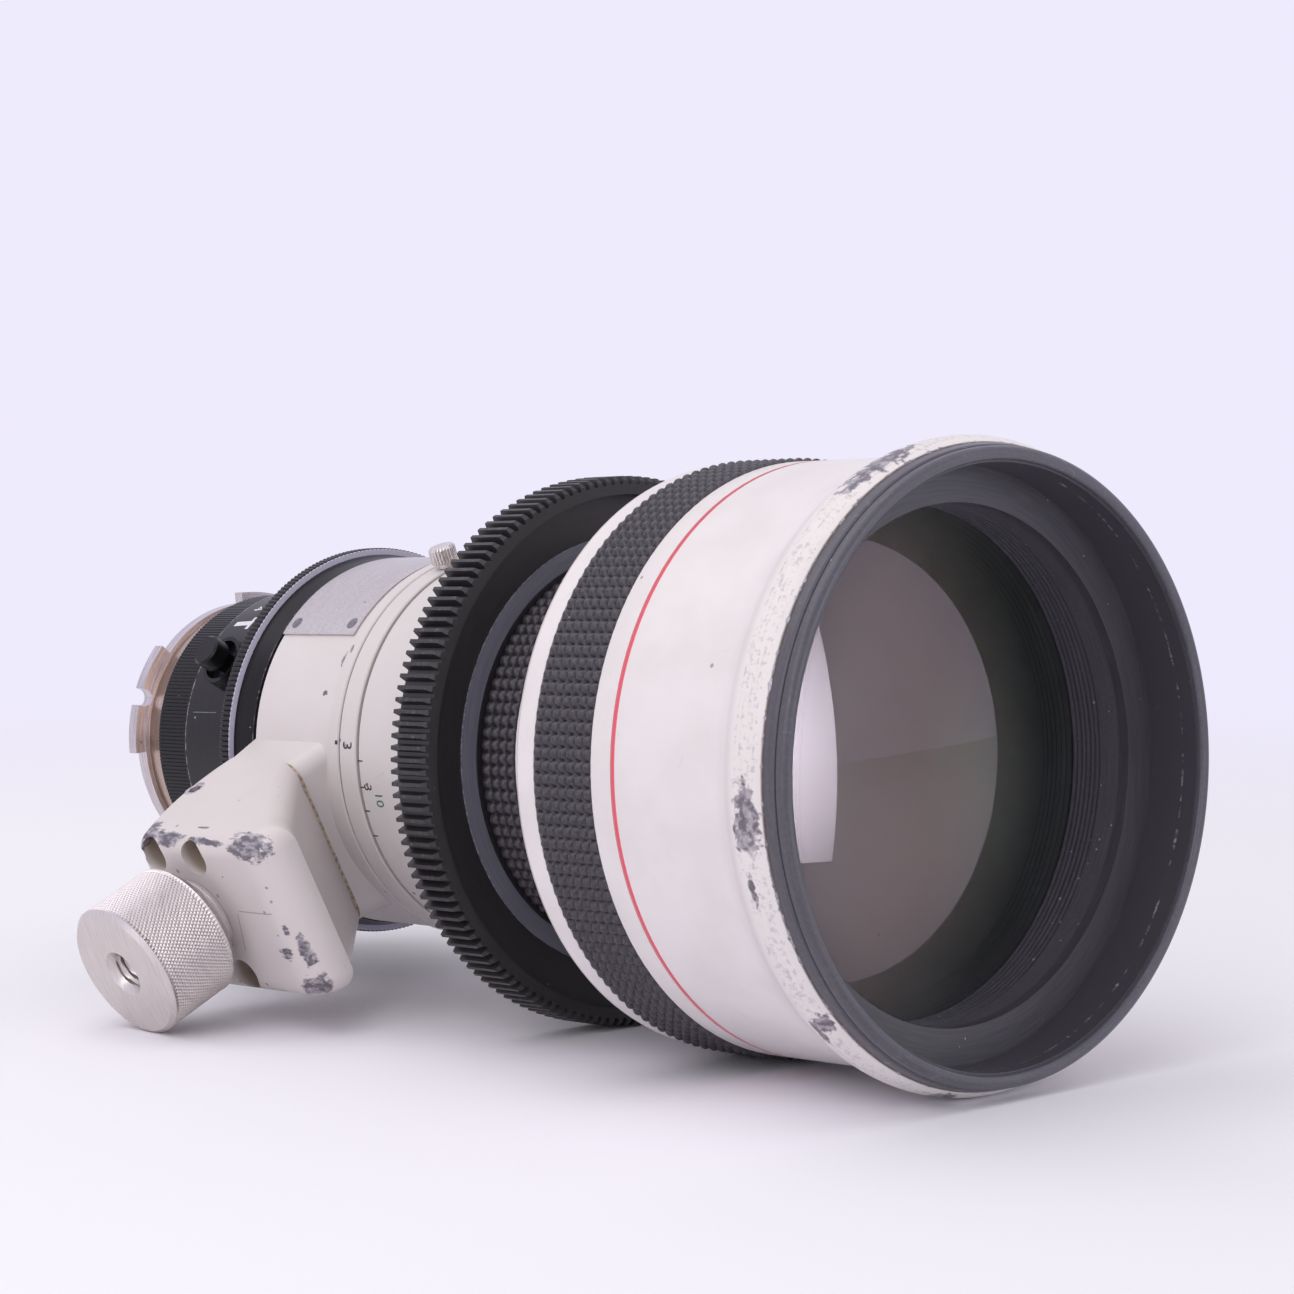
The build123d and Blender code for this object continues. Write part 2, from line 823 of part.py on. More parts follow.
# Rear glass of the focus group: a meniscus that swells backwards
with BuildPart() as focus_glass_b:
    revolve(
        element(
            focus_glass_radius,
            focus_glass_b_edge,
            focus_glass_b_back,
            -focus_glass_b_hollow,
            focus_glass_b_bulge,
        ),
        axis=lens_axis,
    )
finish(focus_glass_b, "focus_glass_b")

# Focus retainer: the threaded ring behind the rear glass of the group
retainer_front = focus_glass_b_back + focus_land_length
with BuildPart() as focus_retainer:
    revolve(
        outline(
            (focus_glass_land, retainer_front),
            (focus_glass_radius, focus_glass_b_back),
            (focus_glass_radius, retainer_front + focus_retainer_length),
            (focus_glass_land, retainer_front + focus_retainer_length),
        ),
        axis=lens_axis,
    )
finish(focus_retainer, "focus_retainer")

# Preset ring: a narrow ring that carries the preset screw
with BuildPart() as preset_ring:
    revolve(
        outline(
            (sleeve_bore, preset_front),
            (preset_radius - preset_edge, preset_front),
            (preset_radius, preset_front + preset_edge),
            (preset_radius, preset_back - preset_edge),
            (preset_radius - preset_edge, preset_back),
            (sleeve_bore, preset_back),
        ),
        axis=lens_axis,
    )
    with BuildSketch(radial_plane(preset_screw_at, preset_screw_angle, tube_radius - cut_margin)):
        Circle(preset_thread_radius + screw_gap)
    extrude(amount=preset_radius - tube_radius + 2 * cut_margin, mode=Mode.SUBTRACT)
finish(preset_ring, "preset_ring")

# Preset screw: a small knurled thumb screw through the preset ring
preset_screw_axis = Axis(along(preset_screw_at), outward(preset_screw_angle))
thread_foot = sleeve_bore + end_gap
with BuildPart() as preset_screw:
    with BuildSketch(radial_plane(preset_screw_at, preset_screw_angle, thread_foot)):
        Circle(preset_thread_radius)
    extrude(amount=preset_neck_height - thread_foot)
    with BuildSketch(radial_plane(preset_screw_at, preset_screw_angle, preset_radius + screw_gap)):
        Circle(preset_neck_radius)
    extrude(amount=preset_neck_height - preset_radius)
    with BuildSketch(radial_plane(preset_screw_at, preset_screw_angle, preset_neck_height)):
        Circle(preset_head_radius)
    extrude(amount=preset_head_height - preset_neck_height)
    chamfer(preset_screw.edges().filter_by(GeomType.CIRCLE).sort_by(preset_screw_axis)[-1], preset_head_edge)
finish(preset_screw, "preset_screw")

# Index ring: fixed to the main tube between the preset ring and the collar
with BuildPart() as index_ring:
    revolve(
        outline(
            (tube_radius + seat_gap, index_front),
            (index_radius - index_edge, index_front),
            (index_radius, index_front + index_edge),
            (index_radius, index_back - index_edge),
            (index_radius - index_edge, index_back),
            (tube_radius + seat_gap, index_back),
        ),
        axis=lens_axis,
    )
finish(index_ring, "index_ring")


def saddle_outline(front, half_width, height):
    """Rectangle with rounded front corners, on a plane that faces out through the foot."""
    with BuildSketch(radial_plane(0, 0, height)) as profile:
        with BuildLine():
            Polyline(
                (front, -half_width),
                (collar_back, -half_width),
                (collar_back, half_width),
                (front, half_width),
                close=True,
            )
        make_face()
        fillet(profile.vertices().group_by(Axis.X)[0], saddle_corner)
    return profile.sketch


# Collar ring: turns on the main tube and carries the saddle, a clamp boss and the name plate
collar_bore = tube_radius + running_gap
plate_screw_places = [
    (at, angle)
    for at in (plate_front + plate_screw_inset, plate_back - plate_screw_inset)
    for angle in (plate_angle + plate_screw_angle_inset, plate_angle + plate_arc - plate_screw_angle_inset)
]
with BuildPart() as collar_ring:
    revolve(
        outline(
            (collar_bore, collar_front),
            (collar_radius - collar_edge, collar_front),
            (collar_radius, collar_front + collar_edge),
            (collar_radius, collar_back - collar_edge),
            (collar_radius - collar_edge, collar_back),
            (collar_bore, collar_back),
        ),
        axis=lens_axis,
    )
    loft(
        [
            saddle_outline(collar_front, saddle_foot_half_width, saddle_foot_height),
            saddle_outline(saddle_front, saddle_half_width, saddle_height),
        ]
    )
    with BuildSketch(radial_plane(clamp_at, clamp_angle, saddle_foot_height)):
        Circle(clamp_boss_radius)
    extrude(amount=clamp_boss_height - saddle_foot_height)
    collar_hole = band(0, collar_bore, collar_front - cut_margin, collar_back + cut_margin)
    revolve(collar_hole, axis=lens_axis, mode=Mode.SUBTRACT)
    with BuildSketch(radial_plane(clamp_at, clamp_angle, saddle_foot_height)):
        Circle(clamp_shank_radius + screw_gap)
    extrude(amount=clamp_boss_height, mode=Mode.SUBTRACT)
    for row in foot_screw_rows:
        with BuildSketch(radial_plane(row, 0, foot_screw_tip_height - end_gap)):
            with Locations((0, foot_screw_half_spread), (0, -foot_screw_half_spread)):
                Circle(foot_screw_radius + seat_gap)
        extrude(amount=foot_height, mode=Mode.SUBTRACT)
    for at, angle in plate_screw_places:
        with BuildSketch(radial_plane(at, angle, collar_radius - plate_screw_length - end_gap)):
            Circle(plate_shank_radius + seat_gap)
        extrude(amount=plate_screw_length + end_gap + cut_margin, mode=Mode.SUBTRACT)
finish(collar_ring, "collar_ring")

# Name plate: a bare curved strip of brushed metal on the collar
plate_radius = collar_radius + seat_gap
with BuildPart() as name_plate:
    revolve(
        band(plate_radius, plate_radius + plate_thickness, plate_front, plate_back, plate_angle),
        axis=lens_axis,
        revolution_arc=plate_arc,
    )
    for at, angle in plate_screw_places:
        with BuildSketch(radial_plane(at, angle, collar_radius - cut_margin)):
            Circle(plate_screw_radius + seat_gap)
        extrude(amount=plate_thickness + 2 * cut_margin, mode=Mode.SUBTRACT)
finish(name_plate, "name_plate")

# Plate screws: four small flat heads, flush with the plate
with BuildPart() as plate_screws:
    for at, angle in plate_screw_places:
        with BuildSketch(radial_plane(at, angle, collar_radius - plate_screw_length)):
            Circle(plate_shank_radius)
        extrude(amount=plate_screw_length + seat_gap)
        with BuildSketch(radial_plane(at, angle, collar_radius + seat_gap)):
            Circle(plate_screw_radius)
        extrude(amount=plate_thickness)
finish(plate_screws, "plate_screws")

# Clamp knob: a radial screw that locks the collar on the main tube
clamp_knob_axis = Axis(along(clamp_at), outward(clamp_angle))
clamp_tip = collar_bore + end_gap
with BuildPart() as clamp_knob:
    with BuildSketch(radial_plane(clamp_at, clamp_angle, clamp_tip)):
        Circle(clamp_shank_radius)
    extrude(amount=clamp_boss_height + end_gap - clamp_tip)
    with BuildSketch(radial_plane(clamp_at, clamp_angle, clamp_boss_height + end_gap)):
        Circle(clamp_head_radius)
    extrude(amount=clamp_head_height - clamp_boss_height - end_gap)
    chamfer(clamp_knob.edges().filter_by(GeomType.CIRCLE).sort_by(clamp_knob_axis)[-1], clamp_head_edge)
finish(clamp_knob, "clamp_knob")

# Foot packing: a thin tan sheet between saddle and foot
packing_top = saddle_height + packing_thickness
with BuildPart() as foot_packing:
    extrude(saddle_outline(saddle_front, saddle_half_width, saddle_height), amount=packing_thickness)
    for row in foot_screw_rows:
        with BuildSketch(radial_plane(row, 0, saddle_height - cut_margin)):
            with Locations((0, foot_screw_half_spread), (0, -foot_screw_half_spread)):
                Circle(foot_screw_radius + screw_gap)
        extrude(amount=packing_thickness + 2 * cut_margin, mode=Mode.SUBTRACT)
finish(foot_packing, "foot_packing")


def foot_side_width(height):
    """Half width of the foot at a height, tapering from the packing to the base."""
    share = (height - packing_top) / (foot_height - packing_top)
    return foot_half_width + (foot_base_half_width - foot_half_width) * share


def foot_side_edges(at, height):
    """The two outer edges of the foot, left and right, nearest to a point of its side view."""
    middle = along(at) + foot_dir * height
    spread = side_dir * foot_side_width(height)
    edges = foot.edges()
    return [edges.sort_by_distance(middle + spread)[0], edges.sort_by_distance(middle - spread)[0]]


# Foot: drawn from the side, with a sloping front and a round nose, and tapered to its base
foot_side_plane = Plane(origin=lip_centre, x_dir=axis_dir, z_dir=side_dir)
foot_front_plane = Plane(origin=along(foot_nose_at - cut_margin), x_dir=side_dir, z_dir=-axis_dir)
foot_length = foot_belly_back - foot_nose_at + 2 * cut_margin
nose_height = foot_height - foot_nose_radius
nose_rise = foot_nose_radius / math.sqrt(2)
foot_screw_planes = [radial_plane(row, 0, foot_height) for row in foot_screw_rows]
with BuildPart() as foot:
    with BuildSketch(foot_side_plane):
        with BuildLine():
            Polyline(
                (foot_stem_back, packing_top),
                (foot_stem_front, packing_top),
                (foot_slope_at, foot_slope_height),
                (foot_nose_at, nose_height),
            )
            TangentArc(
                (foot_nose_at, nose_height),
                (foot_nose_at + foot_nose_radius, foot_height),
                tangent=(0, 1),
            )
            Line((foot_nose_at + foot_nose_radius, foot_height), (foot_back, foot_height))
            ThreePointArc(
                (foot_back, foot_height),
                (foot_belly_back, foot_belly_height),
                (foot_stem_back, packing_top),
            )
        make_face()
    extrude(amount=foot_half_width, both=True)
    with BuildSketch(foot_front_plane):
        with BuildLine():
            Polyline(
                (-foot_half_width, packing_top),
                (foot_half_width, packing_top),
                (foot_base_half_width, foot_height),
                (-foot_base_half_width, foot_height),
                close=True,
            )
        make_face()
    extrude(amount=-foot_length, mode=Mode.INTERSECT)
    round_edges = (
        foot_side_edges((foot_stem_front + foot_slope_at) / 2, (packing_top + foot_slope_height) / 2)
        + foot_side_edges((foot_slope_at + foot_nose_at) / 2, (foot_slope_height + nose_height) / 2)
        + foot_side_edges(foot_nose_at + foot_nose_radius - nose_rise, nose_height + nose_rise)
        + foot_side_edges(foot_belly_back, foot_belly_height)
        + foot_side_edges(foot_back - foot_nose_radius, foot_height)
    )
    fillet(round_edges, foot_rounding)
    with Locations(*foot_screw_planes):
        with Locations((0, foot_screw_half_spread), (0, -foot_screw_half_spread)):
            CounterBoreHole(foot_screw_radius + screw_gap, foot_screw_recess_radius, foot_screw_recess_depth)
    with Locations(radial_plane(adapter_at, 0, foot_height)):
        Hole(stud_radius + running_gap, foot_height - stud_inner_height + end_gap)
    set_screw_side = foot_side_width(foot_set_screw_height)
    set_screw_seat = along(foot_set_screw_at) + foot_dir * foot_set_screw_height
    with Locations(Plane(set_screw_seat + side_dir * (set_screw_side + cut_margin), axis_dir, side_dir)):
        Hole(foot_set_screw_radius + seat_gap, foot_set_screw_length + cut_margin + end_gap)
finish(foot, "foot")

# Foot screws: four cap screws deep in the foot, threaded into the saddle
foot_screw_seat = foot_height - foot_screw_recess_depth
with BuildPart() as foot_screws:
    for row in foot_screw_rows:
        for side in (-foot_screw_half_spread, foot_screw_half_spread):
            with BuildSketch(radial_plane(row, 0, foot_screw_tip_height)):
                with Locations((0, side)):
                    Circle(foot_screw_radius)
            extrude(amount=foot_screw_seat - foot_screw_tip_height)
            with BuildSketch(radial_plane(row, 0, foot_screw_seat)):
                with Locations((0, side)):
                    Circle(foot_screw_head_radius)
            extrude(amount=foot_screw_head_length)
            with BuildSketch(radial_plane(row, 0, foot_screw_seat + foot_screw_head_length)):
                with Locations((0, side)):
                    RegularPolygon(foot_hex_radius, 6)
            extrude(amount=-foot_hex_depth, mode=Mode.SUBTRACT)
finish(foot_screws, "foot_screws")

# Set screw in the side of the foot
set_screw_top = set_screw_seat + side_dir * (set_screw_side - foot_set_screw_inset)
set_screw_plane = Plane(set_screw_top, axis_dir, side_dir)
with BuildPart() as foot_set_screw:
    with BuildSketch(set_screw_plane):
        Circle(foot_set_screw_radius)
    extrude(amount=-foot_set_screw_length)
    with BuildSketch(set_screw_plane):
        RegularPolygon(foot_hex_radius, 6)
    extrude(amount=-foot_hex_depth, mode=Mode.SUBTRACT)
finish(foot_set_screw, "foot_set_screw")

# Adapter: all its pieces are turned about the line that runs out through the foot
adapter_axis = Axis(along(adapter_at), foot_dir)
adapter_plane = Plane(origin=along(adapter_at), x_dir=axis_dir, z_dir=side_dir)
washers_front = foot_height + running_gap
washers_end = washers_front + washer_count * washer_thickness
with BuildPart() as adapter_washers:
    for washer in range(washer_count):
        washer_bottom = washers_front + washer * washer_thickness
        rim = washer_radius - washer_thickness / 4
        with BuildSketch(adapter_plane):
            with BuildLine():
                Polyline(
                    (stud_radius + screw_gap, washer_bottom),
                    (rim, washer_bottom),
                    (washer_radius, washer_bottom + washer_thickness / 4),
                    (washer_radius, washer_bottom + washer_thickness * 3 / 4),
                    (rim, washer_bottom + washer_thickness - seat_gap),
                    (stud_radius + screw_gap, washer_bottom + washer_thickness - seat_gap),
                    close=True,
                )
            make_face()
        revolve(axis=adapter_axis)
finish(adapter_washers, "adapter_washers")

# Adapter knob: a knurled drum with a threaded socket in its outer end
socket_floor = knob_height - socket_depth
stud_top = socket_floor - socket_floor_thickness
socket_chamfer = socket_mouth_radius - socket_radius
with BuildPart() as adapter_knob:
    with BuildSketch(adapter_plane):
        with BuildLine():
            Polyline(
                (stud_radius + seat_gap, washers_end),
                (knob_hub_radius, washers_end),
                (knob_hub_radius, knob_hub_height),
                (knob_radius - knob_back_edge, knob_hub_height),
                (knob_radius, knob_hub_height + knob_back_edge),
                (knob_radius, knob_height - knob_edge),
                (knob_radius - knob_edge, knob_height),
                (socket_mouth_radius, knob_height),
                (socket_radius, knob_height - socket_chamfer),
                (socket_radius, socket_floor),
                (0, socket_floor),
                (0, stud_top),
                (stud_radius + seat_gap, stud_top),
                close=True,
            )
        make_face()
    revolve(axis=adapter_axis)
finish(adapter_knob, "adapter_knob")

# Adapter stud: threaded from the knob into the foot
with BuildPart() as adapter_stud:
    with BuildSketch(radial_plane(adapter_at, 0, stud_inner_height)):
        Circle(stud_radius)
    extrude(amount=stud_top - stud_inner_height)
finish(adapter_stud, "adapter_stud")

# Rear band: the fixed ring behind the collar, seated on the end of the main tube
with BuildPart() as rear_band:
    revolve(
        outline(
            (iris_tube_radius + seat_gap, tube_back),
            (rear_band_front_radius, tube_back),
            (rear_band_back_radius, rear_band_back),
            (iris_tube_radius + seat_gap, rear_band_back),
        ),
        axis=lens_axis,
    )
finish(rear_band, "rear_band")

# Iris tube: a flanged tube in the end of the main tube, with a slot for the pin that drives the iris
cam_pin_at = cam_front + cam_thickness / 2
cam_pin_margin = math.degrees((cam_pin_radius + focus_slot_gap) / iris_tube_bore)
with BuildPart() as iris_tube:
    revolve(
        outline(
            (iris_tube_bore, iris_tube_front),
            (tube_bore - seat_gap, iris_tube_front),
            (tube_bore - seat_gap, tube_back),
            (iris_tube_radius, tube_back),
            (iris_tube_radius, iris_tube_back),
            (iris_tube_bore, iris_tube_back),
        ),
        axis=lens_axis,
    )
    pin_slot = band(
        iris_tube_bore - cut_margin,
        iris_tube_radius + cut_margin,
        cam_pin_at - cam_pin_radius - focus_slot_gap,
        cam_pin_at + cam_pin_radius + focus_slot_gap,
        cam_pin_angle - cam_pin_margin,
    )
    revolve(pin_slot, axis=lens_axis, revolution_arc=iris_turn + 2 * cam_pin_margin, mode=Mode.SUBTRACT)
finish(iris_tube, "iris_tube")

# Toothed ring: the fine-toothed ring in front of the aperture scale
with BuildPart() as toothed_ring:
    revolve(
        outline(
            (t_ring_hub_radius + seat_gap, toothed_ring_front),
            (toothed_ring_radius - toothed_ring_edge, toothed_ring_front),
            (toothed_ring_radius, toothed_ring_front + toothed_ring_edge),
            (toothed_ring_radius, toothed_ring_back - toothed_ring_edge),
            (toothed_ring_radius - toothed_ring_edge, toothed_ring_back),
            (t_ring_hub_radius + seat_gap, toothed_ring_back),
        ),
        axis=lens_axis,
    )
finish(toothed_ring, "toothed_ring")

# Aperture ring: turns on the iris tube, with a round boss for the lock screw
t_ring_bore = iris_tube_radius + running_gap
with BuildPart() as t_ring:
    revolve(
        outline(
            (t_ring_bore, toothed_ring_front),
            (t_ring_hub_radius, toothed_ring_front),
            (t_ring_hub_radius, toothed_ring_back),
            (t_ring_front_radius, toothed_ring_back),
            (t_ring_back_radius, t_ring_back - t_ring_edge),
            (t_ring_back_radius - t_ring_edge, t_ring_back),
            (t_ring_bore, t_ring_back),
        ),
        axis=lens_axis,
    )
    with BuildSketch(radial_plane(lock_at, lock_angle, t_ring_back_radius - cut_margin)):
        Circle(lock_boss_radius)
    extrude(amount=lock_boss_height - t_ring_back_radius + cut_margin)
    with BuildSketch(radial_plane(lock_at, lock_angle, lock_recess_height)):
        Circle(lock_recess_radius)
    extrude(amount=lock_boss_height, mode=Mode.SUBTRACT)
    with BuildSketch(radial_plane(lock_at, lock_angle, iris_tube_radius - cut_margin)):
        Circle(lock_thread_radius + screw_gap)
    extrude(amount=lock_boss_height, mode=Mode.SUBTRACT)
    with BuildSketch(radial_plane(cam_pin_at, cam_pin_angle, iris_tube_radius - cut_margin)):
        Circle(cam_pin_radius + seat_gap)
    extrude(amount=cam_pin_height - iris_tube_radius + cut_margin + seat_gap, mode=Mode.SUBTRACT)
finish(t_ring, "t_ring")

# Iris lock screw: a small round knob that stands in the boss of the aperture ring
lock_axis = Axis(along(lock_at), outward(lock_angle))
lock_tip = t_ring_bore + end_gap
with BuildPart() as iris_lock_screw:
    with BuildSketch(radial_plane(lock_at, lock_angle, lock_tip)):
        Circle(lock_thread_radius)
    extrude(amount=lock_recess_height + screw_gap - lock_tip)
    with BuildSketch(radial_plane(lock_at, lock_angle, lock_recess_height + screw_gap)):
        Circle(lock_neck_radius)
    extrude(amount=lock_cap_bottom - lock_recess_height - screw_gap)
    with BuildSketch(radial_plane(lock_at, lock_angle, lock_cap_bottom)):
        Circle(lock_cap_radius)
    extrude(amount=lock_cap_height - lock_cap_bottom)
    chamfer(iris_lock_screw.edges().filter_by(GeomType.CIRCLE).sort_by(lock_axis)[-1], lock_cap_edge)
finish(iris_lock_screw, "iris_lock_screw")


def drive_pin_path(turn):
    """Place of a blade's drive pin, seen from the cam ring, once the ring has turned by an angle."""
    swing = math.radians(turn * blade_swing / iris_turn)
    x = pivot_circle_radius + tail_length * math.sin(swing)
    y = -tail_length * math.cos(swing)
    back = math.radians(-turn)
    return (x * math.cos(back) - y * math.sin(back), x * math.sin(back) + y * math.cos(back))


# Iris cam ring: turns with the aperture ring; its curved slots swing the blades
cam_steps = 8
slot_overrun = 3.0
cam_radius = iris_tube_bore - running_gap
slot_step = (iris_turn + 2 * slot_overrun) / cam_steps
slot_turns = [step * slot_step - slot_overrun for step in range(cam_steps + 1)]
with BuildPart() as iris_cam_ring:
    revolve(band(cam_inner, cam_radius, cam_front, cam_front + cam_thickness), axis=lens_axis)
    for blade in range(blade_count):
        blade_angle = blade * 360 / blade_count
        with BuildSketch(Plane(along(cam_front - cut_margin), outward(blade_angle), axis_dir)):
            with BuildLine():
                Spline(*[drive_pin_path(turn) for turn in slot_turns])
            trace(line_width=2 * (drive_pin_radius + cam_slot_gap))
        extrude(amount=cam_thickness + 2 * cut_margin, mode=Mode.SUBTRACT)
    with BuildSketch(radial_plane(cam_pin_at, cam_pin_angle, cam_radius - cam_pin_seat)):
        Circle(cam_pin_radius + seat_gap)
    extrude(amount=cam_pin_seat + cut_margin, mode=Mode.SUBTRACT)
finish(iris_cam_ring, "iris_cam_ring")

# Cam pin: joins the cam ring to the aperture ring through the slot of the iris tube
with BuildPart() as cam_pin:
    with BuildSketch(radial_plane(cam_pin_at, cam_pin_angle, cam_radius - cam_pin_seat + seat_gap)):
        Circle(cam_pin_radius)
    extrude(amount=cam_pin_height - cam_radius + cam_pin_seat - seat_gap)
finish(cam_pin, "cam_pin")

# Iris blades: each lies in its own thin layer, with a pivot pin behind it and a drive pin in front
blade_middle = (blade_inner + blade_outer) / 2
blade_width = blade_outer - blade_inner
blade_end = math.radians(blade_span)
blade_end_middle = (blade_middle * math.cos(blade_end), blade_middle * math.sin(blade_end))
for blade in range(blade_count):
    blade_angle = blade * 360 / blade_count
    layer_front = blade_front + blade * blade_pitch
    blade_plane = Plane(along(layer_front), outward(blade_angle), axis_dir)
    with BuildPart() as iris_blade:
        with BuildSketch(blade_plane):
            with BuildLine():
                CenterArc((0, 0), blade_middle, 0, blade_span)
            trace(line_width=blade_width)
            with Locations((blade_middle, 0), blade_end_middle):
                Circle(blade_width / 2)
            with BuildLine():
                Line((blade_middle, 0), (pivot_circle_radius, 0))
            trace(line_width=2 * blade_ear_radius)
            with BuildLine():
                Line((pivot_circle_radius, 0), (pivot_circle_radius, -tail_length))
            trace(line_width=2 * tail_radius)
            with Locations((pivot_circle_radius, 0)):
                Circle(blade_ear_radius)
            with Locations((pivot_circle_radius, -tail_length)):
                Circle(tail_radius)
        extrude(amount=blade_thickness)
        with BuildSketch(blade_plane):
            with Locations((pivot_circle_radius, 0)):
                Circle(pivot_radius)
        extrude(amount=iris_plate_front + iris_plate_thickness - layer_front)
        with BuildSketch(blade_plane):
            with Locations((pivot_circle_radius, -tail_length)):
                Circle(drive_pin_radius)
        extrude(amount=cam_front - layer_front)
    finish(iris_blade, f"iris_blade_{blade + 1}")

# Iris plate: the fixed ring behind the blades, with a hole for each pivot pin
with BuildPart() as iris_plate:
    revolve(
        band(
            iris_plate_inner,
            iris_tube_bore - seat_gap,
            iris_plate_front,
            iris_plate_front + iris_plate_thickness,
        ),
        axis=lens_axis,
    )
    with BuildSketch(disc_plane(iris_plate_front - cut_margin)):
        with PolarLocations(pivot_circle_radius, blade_count):
            Circle(pivot_radius + screw_gap)
    extrude(amount=iris_plate_thickness + 2 * cut_margin, mode=Mode.SUBTRACT)
finish(iris_plate, "iris_plate")

# Rear cell: a tube inside the iris tube and the mount, with lands for two glasses
rear_cell_radius = iris_tube_bore - seat_gap
rear_glass_radius = rear_cell_radius - rear_cell_wall
rear_glass_a_back = rear_glass_a_edge + rear_glass_a_rim
rear_glass_b_back = rear_glass_b_edge + rear_glass_b_rim
with BuildPart() as rear_cell:
    revolve(
        outline(
            (rear_glass_radius, rear_cell_front),
            (rear_cell_radius, rear_cell_front),
            (rear_cell_radius, rear_cell_back),
            (rear_glass_radius, rear_cell_back),
            (rear_glass_radius, rear_glass_b_edge),
            (rear_glass_radius - rear_glass_land, rear_glass_b_edge),
            (rear_glass_radius - rear_glass_land, rear_glass_a_back + rear_glass_land),
            (rear_glass_radius, rear_glass_a_back),
        ),
        axis=lens_axis,
    )
finish(rear_cell, "rear_cell")

# Rear glasses: one that swells both ways, and one that is hollow in front
with BuildPart() as rear_glass_a:
    revolve(
        element(
            rear_glass_radius - seat_gap,
            rear_glass_a_edge,
            rear_glass_a_back,
            rear_glass_a_bulge,
            rear_glass_a_back_bulge,
        ),
        axis=lens_axis,
    )
finish(rear_glass_a, "rear_glass_a")

with BuildPart() as rear_glass_b:
    revolve(
        element(
            rear_glass_radius - seat_gap,
            rear_glass_b_edge,
            rear_glass_b_back,
            -rear_glass_b_hollow,
            rear_glass_b_bulge,
        ),
        axis=lens_axis,
    )
finish(rear_glass_b, "rear_glass_b")

# Sleeve ring: the straight-knurled ring between the aperture ring and the mount
sleeve_ring_bore = iris_tube_radius + seat_gap
with BuildPart() as sleeve_ring:
    revolve(
        outline(
            (sleeve_ring_bore, sleeve_ring_front),
            (sleeve_ring_radius - sleeve_ring_edge, sleeve_ring_front),
            (sleeve_ring_radius, sleeve_ring_front + sleeve_ring_edge),
            (sleeve_ring_radius, sleeve_ring_back - sleeve_ring_edge),
            (sleeve_ring_radius - sleeve_ring_edge, sleeve_ring_back),
            (sleeve_ring_bore, sleeve_ring_back),
        ),
        axis=lens_axis,
    )
finish(sleeve_ring, "sleeve_ring")

# Mount cone: the bronze-coloured neck whose spigot fills the rear of the sleeve ring
with BuildPart() as mount_cone:
    revolve(
        outline(
            (iris_tube_bore, iris_tube_back),
            (iris_tube_radius, iris_tube_back),
            (iris_tube_radius, sleeve_ring_back),
            (mount_cone_radius, sleeve_ring_back),
            (mount_neck_radius, mount_neck_at),
            (mount_cone_bore, mount_neck_at),
            (mount_cone_bore, sleeve_ring_back),
            (iris_tube_bore, sleeve_ring_back),
        ),
        axis=lens_axis,
    )
    with BuildSketch(disc_plane(mount_flange_at - mount_screw_length - end_gap)):
        with PolarLocations(mount_circle_radius, mount_screw_count, lug_angle):
            Circle(mount_screw_radius + seat_gap)
    extrude(amount=mount_screw_length, mode=Mode.SUBTRACT)
finish(mount_cone, "mount_cone")

# Mount flange: the steel flange with four notched lugs and the short barrel behind it
lug_front = mount_flange_at - lug_thickness
notch_radius = lug_notch_width / 2
with BuildPart() as mount_flange:
    revolve(
        outline(
            (mount_bore, sleeve_ring_back),
            (mount_cone_bore - seat_gap, sleeve_ring_back),
            (mount_cone_bore - seat_gap, mount_neck_at),
            (mount_flange_radius, mount_neck_at),
            (mount_flange_radius, mount_flange_at),
            (mount_barrel_radius, mount_flange_at),
            (mount_barrel_radius, total_length - mount_barrel_edge),
            (mount_barrel_radius - mount_barrel_edge, total_length),
            (mount_bore, total_length),
        ),
        axis=lens_axis,
    )
    for lug in range(lug_count):
        middle = lug_angle + lug * 360 / lug_count
        lug_start = middle - lug_half_angle
        lug_section = band(mount_barrel_radius, lug_radius, lug_front, mount_flange_at, lug_start)
        revolve(lug_section, axis=lens_axis, revolution_arc=2 * lug_half_angle)
        with BuildSketch(Plane(along(lug_front - cut_margin), outward(middle), axis_dir)):
            with Locations((lug_radius - lug_notch_depth + notch_radius, 0)):
                Circle(notch_radius)
            with Locations((lug_radius + cut_margin, 0)):
                Rectangle(2 * (lug_notch_depth - notch_radius + cut_margin), lug_notch_width)
        extrude(amount=lug_thickness + 2 * cut_margin, mode=Mode.SUBTRACT)
    with BuildSketch(disc_plane(mount_neck_at - cut_margin)):
        with PolarLocations(mount_circle_radius, mount_screw_count, lug_angle):
            Circle(mount_screw_radius + screw_gap)
    extrude(amount=total_length, mode=Mode.SUBTRACT)
    with BuildSketch(disc_plane(mount_flange_at - mount_screw_head_length)):
        with PolarLocations(mount_circle_radius, mount_screw_count, lug_angle):
            Circle(mount_screw_head_radius + screw_gap)
    extrude(amount=total_length, mode=Mode.SUBTRACT)
finish(mount_flange, "mount_flange")

